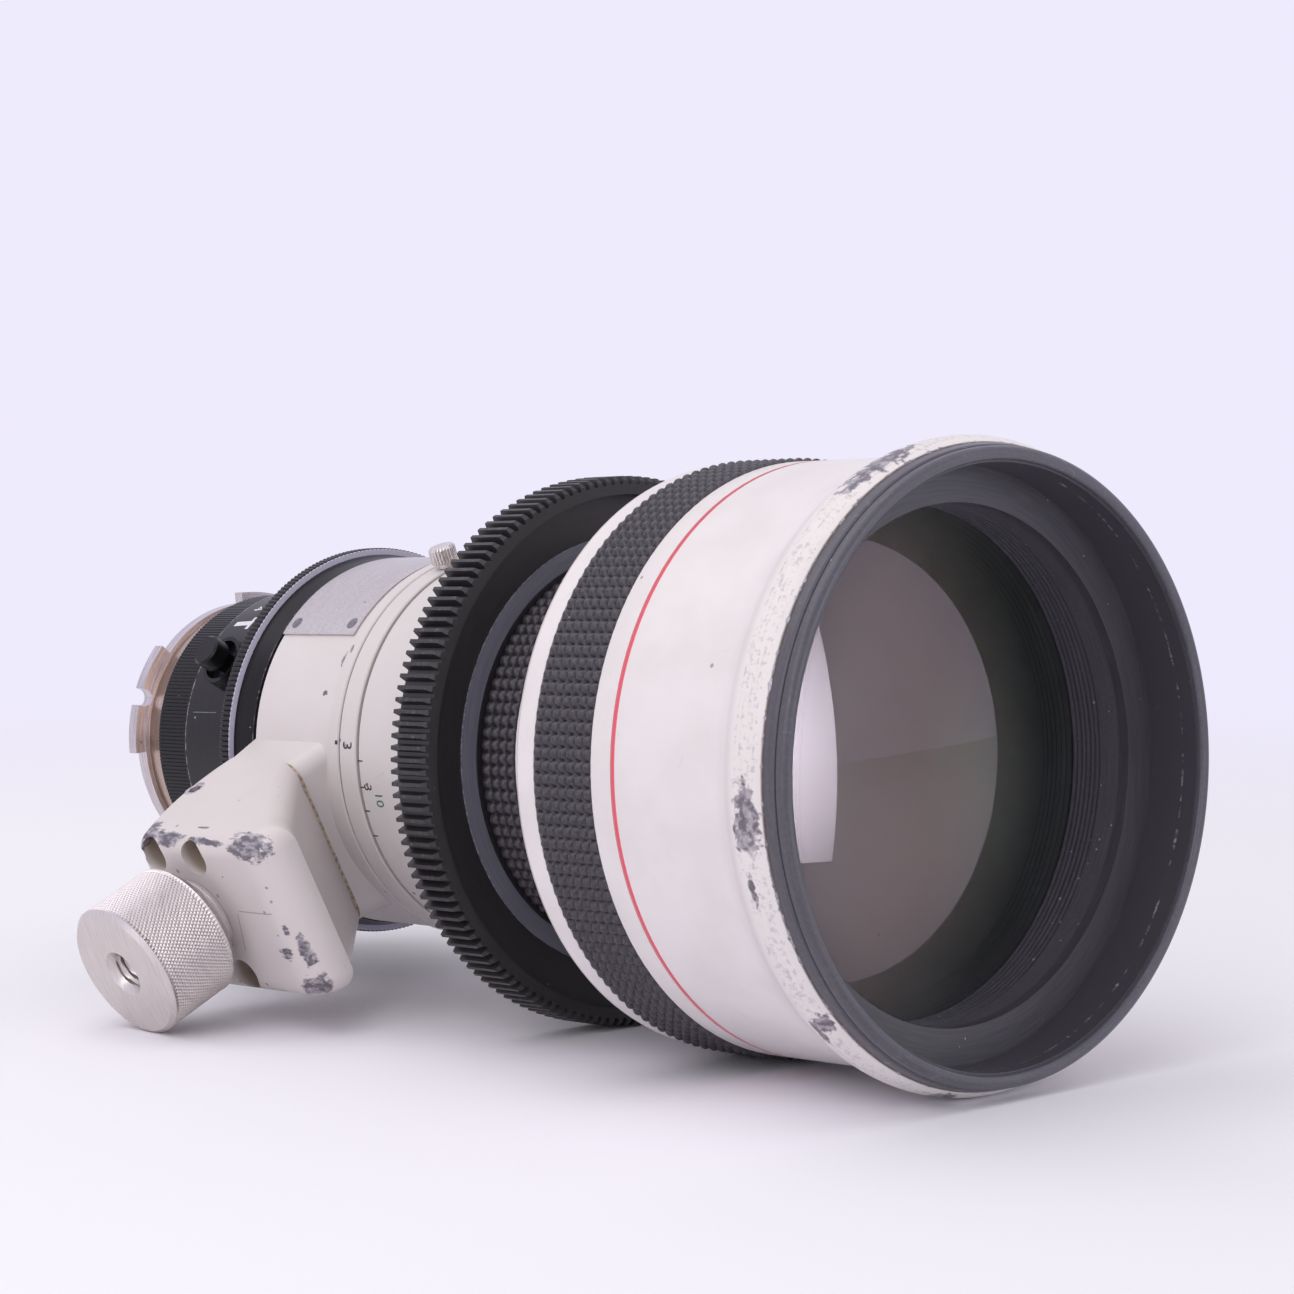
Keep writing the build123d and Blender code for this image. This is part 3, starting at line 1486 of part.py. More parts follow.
# Mount screws: four flush screws that hold the flange on the cone
with BuildPart() as mount_screws:
    with BuildSketch(disc_plane(mount_flange_at - mount_screw_length)):
        with PolarLocations(mount_circle_radius, mount_screw_count, lug_angle):
            Circle(mount_screw_radius)
    extrude(amount=mount_screw_length - mount_screw_head_length)
    with BuildSketch(disc_plane(mount_flange_at - mount_screw_head_length)):
        with PolarLocations(mount_circle_radius, mount_screw_count, lug_angle):
            Circle(mount_screw_head_radius)
    extrude(amount=mount_screw_head_length - seat_gap)
finish(mount_screws, "mount_screws")
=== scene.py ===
# %% [markdown]
# # A telephoto lens, dressed for its portrait
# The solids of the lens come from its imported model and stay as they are. This lesson gives each of
# them a finish, adds the fine shapes that the solids leave out, and lights the scene.
#
# Everything is measured the way a lens maker would: distances run along the optical axis from the
# front lip, radii start at the axis, and angles turn about it from the tripod foot. With those three
# numbers a ring, a scratch or a painted digit goes straight to its place.

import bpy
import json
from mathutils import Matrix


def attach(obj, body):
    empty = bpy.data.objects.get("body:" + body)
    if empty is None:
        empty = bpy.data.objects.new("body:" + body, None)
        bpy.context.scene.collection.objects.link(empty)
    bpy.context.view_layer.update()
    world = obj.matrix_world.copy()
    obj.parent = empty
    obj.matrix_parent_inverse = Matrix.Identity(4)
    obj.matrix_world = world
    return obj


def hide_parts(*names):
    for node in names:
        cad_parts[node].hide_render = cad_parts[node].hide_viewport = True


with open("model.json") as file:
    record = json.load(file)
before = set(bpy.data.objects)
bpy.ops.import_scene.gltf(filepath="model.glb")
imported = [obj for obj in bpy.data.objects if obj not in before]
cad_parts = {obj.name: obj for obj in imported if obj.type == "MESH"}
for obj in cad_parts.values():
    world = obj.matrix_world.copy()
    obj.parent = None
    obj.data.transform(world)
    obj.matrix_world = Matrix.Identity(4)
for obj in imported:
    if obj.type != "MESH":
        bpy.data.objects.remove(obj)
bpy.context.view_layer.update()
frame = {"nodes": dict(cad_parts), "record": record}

# %% Tools for meshes and numbers
import json
import math
from collections import namedtuple

import bmesh
import bpy
import numpy as np
from mathutils import Matrix, Vector

# %% [markdown]
# ## How the lens lies
# The lens rests on three things: the round crest of its flared front, the back edge of the gear
# teeth and the rim of the knob under its foot. The first two set the tilt of the axis, the third
# says how far the tripod collar has turned. Working the tilt out from the same sizes as the solids
# keeps this file and the solids in one frame, without measuring any mesh.

# %% Resting place
MM = 0.001
barrel_radius, flare_radius, flare_crest_at, flare_back = 61.4, 65.2, 9.5, 21.5
bumper_front_radius, bumper_edge = 62.8, 0.4
gear_radius, gear_back = 60.0, 118.4
adapter_at, knob_radius, knob_height, knob_edge = 174.1, 15.5, 100.8, 1.0
total_length, rear_edge_radius = 256.4, 26.6

flare_rise, flare_length = flare_radius - barrel_radius, flare_back - flare_crest_at
flare_curve = (flare_length**2 + flare_rise**2) / (4 * flare_rise)
rest_run, rest_rise = gear_back - flare_crest_at, gear_radius - flare_radius + flare_curve
tilt = math.asin(flare_curve / math.hypot(rest_run, rest_rise)) - math.atan2(rest_rise, rest_run)
lip_height = gear_radius * math.cos(tilt) + gear_back * math.sin(tilt)
knob_axis_height = lip_height - adapter_at * math.sin(tilt)
rim_height = knob_height - knob_edge
rim_slope = math.atan2(knob_radius, rim_height)
droop = math.asin(knob_axis_height / math.hypot(rim_height, knob_radius)) - rim_slope
foot_turn = math.asin(math.sin(droop) / math.cos(tilt))
knob_reach = knob_height * math.cos(foot_turn) + (knob_radius - knob_edge) * math.sin(foot_turn)
front_reach = (bumper_front_radius - bumper_edge) * math.sin(tilt)
back_reach = total_length * math.cos(tilt) + rear_edge_radius * math.sin(tilt)

lip_centre = np.array([(knob_reach - flare_radius) / 2, (front_reach - back_reach) / 2, lip_height])
axis_dir = np.array([0, math.cos(tilt), -math.sin(tilt)])
down_dir = np.array([0, -math.sin(tilt), -math.cos(tilt)])
foot_dir = np.array([-math.cos(foot_turn), 0, 0]) + down_dir * math.sin(foot_turn)
side_dir = np.cross(axis_dir, foot_dir)
print("tilt", round(math.degrees(tilt), 2), "foot turned", round(math.degrees(foot_turn), 2), "degrees")

# %% [markdown]
# ## Spindles
# Nearly every piece was turned on a lathe, so nearly every piece is a function of two numbers: how
# far along a spindle, and how far round it. A spindle is a starting point with three directions. The
# lens itself is one, the knob under the foot is another, and each small screw has its own.


# %% Points about a spindle
Spindle = namedtuple("Spindle", "start out first second")


def outward(angle):
    """Direction square to the lens axis, turned by an angle in degrees from the foot."""
    return foot_dir * math.cos(math.radians(angle)) + side_dir * math.sin(math.radians(angle))


def radial_spindle(distance, angle):
    """Spindle of a screw that points at the axis: it starts on the axis and runs outwards."""
    out = outward(angle)
    return Spindle(lip_centre + axis_dir * distance, out, axis_dir, np.cross(out, axis_dir))


def spun(spindle, height, radius, angle):
    """Points = start + out x height + radius x (first x cos angle + second x sin angle), in metres.

    Heights and radii are millimetres and angles radians. Any of them may be an array."""
    height, radius, angle = np.broadcast_arrays(height, radius, angle)
    across = radius[..., None] * (
        np.cos(angle)[..., None] * spindle.first + np.sin(angle)[..., None] * spindle.second
    )
    return (spindle.start + height[..., None] * spindle.out + across) * MM


lens = Spindle(lip_centre, axis_dir, foot_dir, side_dir)
knob_spindle = Spindle(lip_centre + axis_dir * adapter_at, foot_dir, axis_dir, side_dir)
print("lip centre in metres", (lip_centre * MM).round(5))

# %% [markdown]
# ## From a grid of points to a piece
# A grid of points becomes a mesh once each cell gets its four corners. The rows of a turned piece
# close on themselves, and a ring's profile closes too. Points that meet at a pole are merged, then the
# normals are made to face outwards, and sharp edges are told apart from smooth ones by their angle.


# %% Grids into meshes
def grid_faces(rows, columns, join_rows=False, join_columns=False):
    """Corners of each cell (i, j): points (i, j), (i, j+1), (i+1, j+1), (i+1, j), counted row by row."""
    row = np.arange(rows if join_rows else rows - 1)[:, None]
    column = np.arange(columns if join_columns else columns - 1)[None, :]
    here, below, beside = row * columns, (row + 1) % rows * columns, (column + 1) % columns
    corners = (here + column, here + beside, below + beside, below + column)
    return np.stack(np.broadcast_arrays(*corners), axis=-1).reshape(-1, 4)


def link(name, data):
    """Makes an object of the given data and puts it in the scene."""
    made = bpy.data.objects.new(name, data)
    bpy.context.scene.collection.objects.link(made)
    return made


def add_piece(name, points, faces, body, slot, finish=None, replaced=(), sharp=35):
    """Makes a mesh from arrays of points and faces, and lets it ride on a body.

    Where no finish is named, the piece gets the one that serves its slot."""
    points, faces = np.asarray(points).reshape(-1, 3), np.asarray(faces)
    mesh = bpy.data.meshes.new(name)
    mesh.vertices.add(len(points))
    mesh.vertices.foreach_set("co", points.ravel())
    mesh.loops.add(faces.size)
    mesh.loops.foreach_set("vertex_index", faces.ravel())
    mesh.polygons.add(len(faces))
    mesh.polygons.foreach_set("loop_start", np.arange(0, faces.size, faces.shape[1]))
    mesh.update(calc_edges=True)
    work = bmesh.new()
    work.from_mesh(mesh)
    bmesh.ops.remove_doubles(work, verts=work.verts, dist=1e-6)
    bmesh.ops.recalc_face_normals(work, faces=work.faces)
    work.to_mesh(mesh)
    work.free()
    mesh.shade_smooth()
    mesh.set_sharp_from_angle(angle=math.radians(sharp))
    mesh.materials.append(finish or by_slot[slot])
    piece = link(name, mesh)
    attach(piece, body)
    if replaced:
        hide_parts(*replaced)
    print(name, len(mesh.polygons), "faces")
    return piece


# %% [markdown]
# ## Colours and small node tools
# Colours are written the way a colour picker shows them, from 0 to 255, and turned into the linear
# values that light adds up in. A few short helpers keep the node trees readable: one adds a node and
# fills its inputs, and the others name the sums that come back again and again.


# %% Colour and node helpers
def colour(red, green, blue):
    """Linear colour: ((c / 255 + 0.055) / 1.055) to the power 2.4, or c / 255 / 12.92 where dark."""
    share = np.array([red, green, blue]) / 255
    linear = np.where(share > 0.04045, ((share + 0.055) / 1.055) ** 2.4, share / 12.92)
    return (*linear.tolist(), 1.0)


def fill(node, inputs):
    """Links or sets each named or numbered input of a node, and returns the node."""
    for key, value in dict(inputs).items():
        if isinstance(value, bpy.types.NodeSocket):
            node.id_data.links.new(value, node.inputs[key])
        else:
            node.inputs[key].default_value = value
    return node


def put(home, kind, inputs=(), **settings):
    """Adds a shader node to a tree, or beside a socket; sets its properties and fills its inputs."""
    node = home.id_data.nodes.new("ShaderNode" + kind)
    for key, value in settings.items():
        setattr(node, key, value)
    return fill(node, inputs)


def calc(operation, *values):
    """One sum of the Math node, where at least one value is a socket."""
    home = next(value for value in values if isinstance(value, bpy.types.NodeSocket))
    return put(home, "Math", enumerate(values), operation=operation).outputs[0]


def times(first, second):
    """Product of two values."""
    return calc("MULTIPLY", first, second)


def away(value, middle):
    """How far a value lies from a middle, on either side."""
    return calc("ABSOLUTE", calc("SUBTRACT", value, middle))


def root_of_squares(first, second):
    """Length of a step with two square parts: root(first squared + second squared)."""
    return calc("SQRT", calc("ADD", times(first, first), times(second, second)))


def leaning(share, first, second):
    """Value that goes from the first to the second as the share goes from 0 to 1."""
    return calc("MULTIPLY_ADD", calc("SUBTRACT", second, first), share, first)


def mixed(share, first, second):
    """Colour that goes from the first to the second as the share goes from 0 to 1."""
    return put(share, "Mix", {0: share, 6: first, 7: second}, data_type="RGBA").outputs[2]


def step(value, low, high, start=0.0, end=1.0):
    """Soft step: start up to low, end from high, and a smooth rise between them."""
    inputs = {"Value": value, "From Min": low, "From Max": high, "To Min": start, "To Max": end}
    return put(value, "MapRange", inputs, interpolation_type="SMOOTHSTEP").outputs[0]


def noise(place, scale, detail, roughness=0.5):
    """Cloudy value about 0.5; a higher scale is finer, and detail adds finer clouds to it."""
    inputs = {"Vector": place, "Scale": scale, "Detail": detail, "Roughness": roughness}
    return put(place, "TexNoise", inputs).outputs[0]


def group(name, outputs, **inputs):
    """Empty node group: each output is a name and a kind, each input a name and its starting value."""
    tree = bpy.data.node_groups.new(name, "ShaderNodeTree")
    for label, start in inputs.items():
        kind = "NodeSocketVector" if isinstance(start, tuple) else "NodeSocketFloat"
        tree.interface.new_socket(name=label, in_out="INPUT", socket_type=kind).default_value = start
    for label, kind in outputs.items():
        tree.interface.new_socket(name=label, in_out="OUTPUT", socket_type="NodeSocket" + kind)
    return tree, tree.nodes.new("NodeGroupInput").outputs, tree.nodes.new("NodeGroupOutput")


origin = (0.0, 0.0, 0.0)

# %% [markdown]
# ## The lens's own measures, for the materials
# Wear sits at known places: on the crest of the flare, on a corner of the foot, along the edge of a
# ring. So the first node group turns a point of the object into the maker's numbers. Its input is
# the Object coordinate, which stays with a piece when the piece turns. Its last output is for lathe
# lines: it changes quickly along the lens and outwards, and hardly at all on the way round.

# %% Node group: lens measures
kinds = {"Place": "Vector", "Distance": "Float", "Radius": "Float", "Turned": "Vector"}
measures, given, result = group("lens_measures", kinds, Point=origin)
from_lip = put(
    measures, "VectorMath", {0: given["Point"], 1: lip_centre * MM}, operation="SUBTRACT"
).outputs[0]


def measured(direction):
    """Millimetres from the lip along a direction: the dot product with it, times 1000."""
    dot = put(measures, "VectorMath", {0: from_lip, 1: direction / MM}, operation="DOT_PRODUCT")
    return dot.outputs["Value"]


round_share, outward_share = 0.03, 0.83
distance_mm, height_mm, side_mm = measured(axis_dir), measured(foot_dir), measured(side_dir)
radius_mm = root_of_squares(height_mm, side_mm)
lathe_line = calc("MULTIPLY_ADD", radius_mm, outward_share, distance_mm)
slow_height, slow_side = times(height_mm, round_share), times(side_mm, round_share)
place_mm = put(measures, "CombineXYZ", {0: distance_mm, 1: height_mm, 2: side_mm}).outputs[0]
turned_mm = put(measures, "CombineXYZ", {0: lathe_line, 1: slow_height, 2: slow_side}).outputs[0]
fill(result, {"Place": place_mm, "Distance": distance_mm, "Radius": radius_mm, "Turned": turned_mm})
print("group", measures.name)

# %% [markdown]
# ## Wear, specks and grain
# Worn paint has a ragged rim: far from the worn place nothing is gone, near its middle everything is,
# and between them noise decides. Specks are spots round the middles of a Voronoi pattern's cells.
# Scratches are the thin lines where slow noise crosses its middle value. Each is built once as a group,
# with its sizes as inputs, and each finish sets its own.

# %% Node group: closeness to a worn place
near_place, given, result = group(
    "near_place", {"Closeness": "Float"}, Place=origin, Middle=origin, Size=(3.0, 3.0, 3.0)
)
offset = put(near_place, "VectorMath", {0: given["Place"], 1: given["Middle"]}, operation="SUBTRACT")
scaled = put(near_place, "VectorMath", {0: offset.outputs[0], 1: given["Size"]}, operation="DIVIDE")
reach = put(near_place, "VectorMath", {0: scaled.outputs[0]}, operation="LENGTH").outputs["Value"]
fill(result, {"Closeness": step(reach, 1.7, 0.1)})

# %% Node group: ragged mask, for wear and for painted highlights at edges
ragged_wear_and_highlight, given, result = group(
    "ragged_wear_and_highlight", {"Mask": "Float"}, Closeness=0.0, Place=origin, Grain=1.0, Spread=1.0
)
cloud = noise(given["Place"], given["Grain"], 6.0, 0.62)
lift = times(calc("SUBTRACT", cloud, 0.5), given["Spread"])
torn = step(calc("ADD", given["Closeness"], lift), 0.40, 0.72)
held = step(given["Closeness"], 0.02, 0.2)
fill(result, {"Mask": times(torn, held)})

# %% Node group: specks
specks, given, result = group(
    "specks", {"Mask": "Float"}, Place=origin, Spacing=4.0, Size=0.3, Share=0.5
)
fineness = calc("DIVIDE", 1.0, given["Spacing"])
cells = put(specks, "TexVoronoi", {"Vector": given["Place"], "Scale": fineness}).outputs
dice = put(specks, "SeparateColor", {0: cells["Color"]}).outputs
relative_size = calc("DIVIDE", given["Size"], given["Spacing"])
width = times(relative_size, calc("ADD", dice[0], 0.3))
spot = step(calc("DIVIDE", cells["Distance"], width), 1.0, 0.6)
chosen = calc("LESS_THAN", dice[1], given["Share"])
fill(result, {"Mask": times(spot, chosen)})

# %% Node group: scratches
scratches, given, result = group(
    "scratches", {"Mask": "Float"}, Place=origin, Scale=0.2, Width=0.006, Share=0.5
)
waves = noise(given["Place"], given["Scale"], 1.0)
line = step(away(waves, 0.5), given["Width"], 0.0)
breaks = noise(given["Place"], times(given["Scale"], 4.3), 2.0)
least = calc("SUBTRACT", 0.72, times(given["Share"], 0.3))
fill(result, {"Mask": times(line, step(breaks, least, 0.75))})

# %% Node group: fine grain
fine_grain, given, result = group(
    "fine_grain", {"Height": "Float", "Cloud": "Float"}, Place=origin, Scale=1.0
)
slow_scale = times(given["Scale"], 0.07)
quick_clouds = noise(given["Place"], given["Scale"], 4.0, 0.55)
fill(result, {"Height": quick_clouds, "Cloud": noise(given["Place"], slow_scale, 3.0)})
print("groups", [made.name for made in bpy.data.node_groups])

# %% [markdown]
# ## The bones of a finish
# Every finish starts the same way: a Principled shader, and the lens's own measures worked out from
# the Object coordinate. The function returns them in one bundle, and each finish adds the rest.

# %% The bones of a finish
Finish = namedtuple("Finish", "material shader place distance radius turned")


def new_finish(name, base, roughness, metallic=0.0):
    """Material with a Principled shader of one colour, and the lens's measures to hand."""
    material = bpy.data.materials.new(name)
    material.use_nodes = True
    shader = material.node_tree.nodes["Principled BSDF"]
    fill(shader, {"Base Color": base, "Roughness": roughness, "Metallic": metallic})
    point = put(shader, "TexCoord").outputs["Object"]
    here = put(point, "Group", {"Point": point}, node_tree=measures).outputs
    return Finish(material, shader, here["Place"], here["Distance"], here["Radius"], here["Turned"])


def over(finish, made, **inputs):
    """Places a node group that reads the lens's own place, and returns its outputs."""
    return put(finish.place, "Group", {"Place": finish.place, **inputs}, node_tree=made).outputs


def bump(finish, height, depth_mm):
    """Bumps the surface by a height of 0 to 1 that stands for a depth in millimetres."""
    node = put(height, "Bump", {"Height": height, "Distance": depth_mm * MM, "Strength": 1.0})
    fill(finish.shader, {"Normal": node.outputs[0]})


def between(value, low, high, soft=0.05):
    """1 where a value lies between two numbers, with soft ends."""
    rise = step(value, low - soft, low + soft)
    return times(rise, step(value, high + soft, high - soft))


def most(masks):
    """The largest of several masks at each point, and 0 where there are none."""
    total = 0.0
    for mask in masks:
        total = calc("MAXIMUM", mask, total)
    return total


def at(distance, radius, angle):
    """Place of a point given by distance, radius and angle in degrees, as the finishes see it."""
    return (distance, radius * math.cos(math.radians(angle)), radius * math.sin(math.radians(angle)))


# %% [markdown]
# ## Cream enamel
# The barrel, the sleeves, the collar and the foot are aluminium under thick cream enamel. In a studio
# it shows as a soft, slightly pink white. Years of hire left it worn: grey aluminium where corners hit
# things, fine grey specks on the crest of the flare, chips, and dirt in the gaps. One function paints
# all of these pieces. Each piece names its own worn places, and one ragged mask serves them all.

# %% Cream enamel
cream, shaded_cream = colour(229, 223, 224), colour(206, 198, 197)
sleeve_cream, collar_cream, foot_cream = colour(213, 207, 206), colour(217, 210, 210), colour(215, 207, 206)
speck_grey, grime_brown, coral = colour(122, 110, 112), colour(112, 96, 82), colour(232, 100, 118)
dark_metal, light_metal = colour(108, 103, 112), colour(176, 170, 176)


def nearness(finish, patches=(), bands=()):
    """Closeness to each worn patch (middle, size) and band (distance, half width, amount)."""
    found = [over(finish, near_place, Middle=middle, Size=size)["Closeness"] for middle, size in patches]
    for middle, half_width, amount in bands:
        found.append(step(away(finish.distance, middle), half_width, 0.0, 0.0, amount))
    return found


def cream_enamel(name, shade, patches=(), bands=(), gaps=(), extras=(),
                 grain=0.55, specked=8.0, streak=(1, 1, 1)):
    """Enamel: clouds, specks, grime at gaps, extra paint, then bare metal in streaks where the paint is
    rubbed through.
    """
    finish = new_finish(name, shade, 0.4)
    fine = over(finish, fine_grain, Scale=0.9)
    base = mixed(step(fine["Cloud"], 0.35, 0.7, 0.0, 0.28), shade, shaded_cream)
    tiny = over(finish, specks, Spacing=specked, Size=0.5, Share=0.4)["Mask"]
    base = mixed(times(tiny, 0.7), base, speck_grey)
    for gap in gaps:
        grime = step(away(finish.distance, gap), 0.45, 0.1, 0.0, 0.4)
        base = mixed(grime, base, grime_brown)
    for paint in extras:
        base = paint(finish, base)
    along = put(finish.place, "VectorMath", {0: finish.place, 1: streak}, operation="MULTIPLY").outputs[0]
    close = most(nearness(finish, patches, bands))
    ragged_mask = over(finish, ragged_wear_and_highlight, Closeness=close, Place=along, Grain=grain, Spread=2.4)["Mask"]
    marks = over(finish, scratches, Scale=0.05, Width=0.0022, Share=0.35)["Mask"]
    bare = calc("MAXIMUM", ragged_mask, times(marks, 0.6))
    flecks = step(noise(along, 1.2 * grain, 5.0, 0.6), 0.42, 0.64)
    base = mixed(bare, base, mixed(flecks, dark_metal, light_metal))
    rough = calc("MULTIPLY_ADD", fine["Cloud"], 0.16, 0.32)
    fill(finish.shader, {"Base Color": base, "Roughness": rough, "Metallic": times(bare, 0.4)})
    bump(finish, calc("SUBTRACT", times(fine["Height"], 0.25), bare), 0.02)
    return finish.material


# %% [markdown]
# Four more effects belong to single pieces: the specks along the crest of the flare, with a painted
# shade in the hollow behind it and the coral line behind that, the painted shade at the front of the
# focus sleeve, the dirt down in the screw holes of the foot, and a rounded outline that something
# scribed into the base of the foot.


# %% Paint effects of single pieces
brown_edge, crest, groove, coral_line, hood_wall = 5.1, (5.6, 11.6), (12.6, 14.6), (47.6, 48.8), 60.8
covered_sleeve = 111.4
foot_height, screw_rows, screw_spread, counterbore = 77.0, (168.0, 183.0), 14.8, 4.25


def crest_and_line(finish, base):
    """Pale crest with fine grey wear, a painted shade in the hollow behind it, a brown edge, the coral line,
    a dark hood.
    """
    on_crest = between(finish.distance, *crest, 1.0)
    painted_hollow_shade = between(finish.distance, *groove, 1.6)
    base = mixed(times(on_crest, 0.75), base, colour(228, 222, 219))
    # Painted shade: the hollow behind the crest is darkened towards the shaded cream.
    base = mixed(times(painted_hollow_shade, 0.6), base, shaded_cream)
    close = times(on_crest, step(noise(finish.turned, 1.5, 2.0), 0.38, 0.62, 0.34, 0.50))
    specked = over(finish, ragged_wear_and_highlight, Closeness=close, Grain=0.9, Spread=1.8)["Mask"]
    base = mixed(times(specked, 0.45), base, colour(158, 153, 162))
    at_edge = step(finish.distance, brown_edge + 0.2, brown_edge - 0.2)
    base = mixed(at_edge, base, colour(92, 76, 68))
    base = mixed(between(finish.distance, *coral_line, 0.04), base, coral)
    inside = step(finish.radius, hood_wall + 0.1, hood_wall - 0.1)
    return mixed(inside, base, colour(66, 63, 70))


def painted_shade_under_gear(finish, base):
    """Painted shade: the sleeve is darkened at its front, where the rubber and the gear cover it."""
    covered = step(finish.distance, covered_sleeve + 0.1, covered_sleeve - 0.1)
    return mixed(covered, base, colour(38, 36, 40))


def hole_dirt(finish, base):
    """Brown in the four counterbores: near a screw's line and below the base."""
    split = put(finish.place, "SeparateXYZ", {0: finish.place}).outputs
    aside = calc("SUBTRACT", calc("ABSOLUTE", split[2]), screw_spread)
    reaches = []
    for row in screw_rows:
        reach = root_of_squares(calc("SUBTRACT", split[0], row), aside)
        reaches.append(step(reach, counterbore + 0.1, counterbore - 0.1))
    deep = step(split[1], foot_height - 0.2, foot_height - 2.5, 0.0, 0.7)
    return mixed(times(most(reaches), deep), base, colour(152, 130, 106))


def scribed_outline(finish, base):
    """Thin grey lines on the base: one along the foot, and one slanting across it at its end."""
    split = put(finish.place, "SeparateXYZ", {0: finish.place}).outputs
    on_base = step(split[1], foot_height - 0.8, foot_height - 0.4)
    on_line = between(split[2], 2.1, 2.35, 0.08)
    along = times(on_line, between(split[0], 148, 159.5, 0.4))
    slant = calc("MULTIPLY_ADD", split[2], 0.35, split[0])
    on_slant = between(slant, 160.85, 161.1, 0.08)
    across = times(on_slant, between(split[2], -8, 1.6, 0.4))
    line = times(calc("MAXIMUM", along, across), on_base)
    return mixed(times(line, 0.65), base, colour(110, 102, 108))


# %% [markdown]
# The worn spots were read from the photograph: each is a distance from the lip, a radius and an angle,
# or on the foot a distance, a height and a sideways step. The numbers after it are its size each way.
# Each finish is kept by the name of its material slot, or of the one solid that wears it.

# %% Enamel of each piece
by_slot, by_node = {}, {}
by_node["front_barrel"] = cream_enamel(
    "barrel_enamel", cream, gaps=(76.3,), bands=((5.0, 0.7, 0.5),), extras=(crest_and_line,), grain=0.42,
    patches=(
        (at(8.6, 64.9, 21.0), (3.4, 4.0, 9.0)), (at(9.2, 65.0, 9.0), (1.0, 2.0, 3.4)),
        (at(7.6, 64.6, -18.5), (2.8, 3.0, 3.2)), (at(10.2, 65.0, -21.0), (1.2, 3.5, 3.5)),
        (at(9.2, 65.1, 92.0), (3.4, 12.0, 4.0)), (at(7.6, 64.7, -52.0), (2.6, 4.0, 4.0)),
        (at(9.4, 65.1, 210.0), (2.4, 4.0, 4.0)), (at(9.4, 65.1, 150.0), (1.8, 3.0, 3.0)),
    ),
)
by_node["shoulder_cone"] = cream_enamel("cone_enamel", cream, gaps=(76.9,))
by_slot["barrel_cream"] = cream_enamel(
    "sleeve_enamel", sleeve_cream, gaps=(151.5, 157.6), extras=(painted_shade_under_gear,), grain=0.9,
    patches=(
        (at(160.4, 43.5, 58.4), (0.55, 1.5, 1.1)), (at(157.2, 43.4, 30.9), (0.6, 0.6, 0.6)),
        (at(155.3, 43.4, 29.5), (0.5, 0.5, 0.5)), (at(148.9, 43.0, 18.0), (0.45, 0.4, 0.5)),
        (at(149.5, 43.0, -20.0), (0.6, 0.5, 0.5)),
    ),
)
by_node["collar_ring"] = cream_enamel(
    "collar_enamel", collar_cream, gaps=(161.8,), grain=0.9,
    patches=(
        (at(162.9, 42.6, 56.0), (0.7, 2.2, 1.6)), (at(165.9, 42.6, 44.8), (0.8, 0.7, 0.9)),
        ((164.6, 43.6, -21.0), (1.0, 1.4, 1.0)),
    ),
)
by_node["foot"] = cream_enamel(
    "foot_enamel", foot_cream, extras=(hole_dirt, scribed_outline), specked=3.6, grain=0.7,
    streak=(0.4, 1, 1),
    patches=(
        ((185.0, 74.6, 18.8), (4.4, 3.8, 3.4)), ((177.0, 75.6, 18.8), (6.5, 1.8, 1.9)),
        ((163.0, 76.0, 18.9), (9.0, 0.9, 1.0)), ((147.4, 75.2, 18.2), (7.6, 3.2, 3.6)),
        ((144.4, 74.8, -8.0), (1.6, 1.6, 4.4)), ((145.0, 75.2, -16.4), (4.8, 3.0, 3.2)),
        ((148.5, 77.0, -8.0), (2.0, 0.9, 1.8)), ((146.4, 76.3, -1.9), (1.2, 0.8, 1.4)),
        ((166.0, 72.6, 20.4), (2.6, 0.4, 0.5)), ((155.0, 76.2, 19.4), (2.6, 0.5, 0.6)),
        ((165.0, 76.6, -19.4), (9.0, 0.8, 0.8)), ((187.5, 74.0, -17.0), (3.0, 3.0, 2.5)),
    ),
)
print("enamels ready")

# %% [markdown]
# ## Blacks, rubber and metals
# Black is never just black. The anodised rings keep a lathe's fine lines and turn grey at some edges,
# the bumper is scuffed cloudy, the rubber is dull with dust on it, and the bores behind the lip
# hold pale specks of dust. All of these share one function: two shades, a grain that runs either
# evenly or along the lathe's lines, and paler bands at edges and rims. Some of these bands are painted
# highlights, on the aperture ring's rear edge, the front face of its teeth and the liner's outer rim,
# and the gear's teeth are painted paler towards their tips.


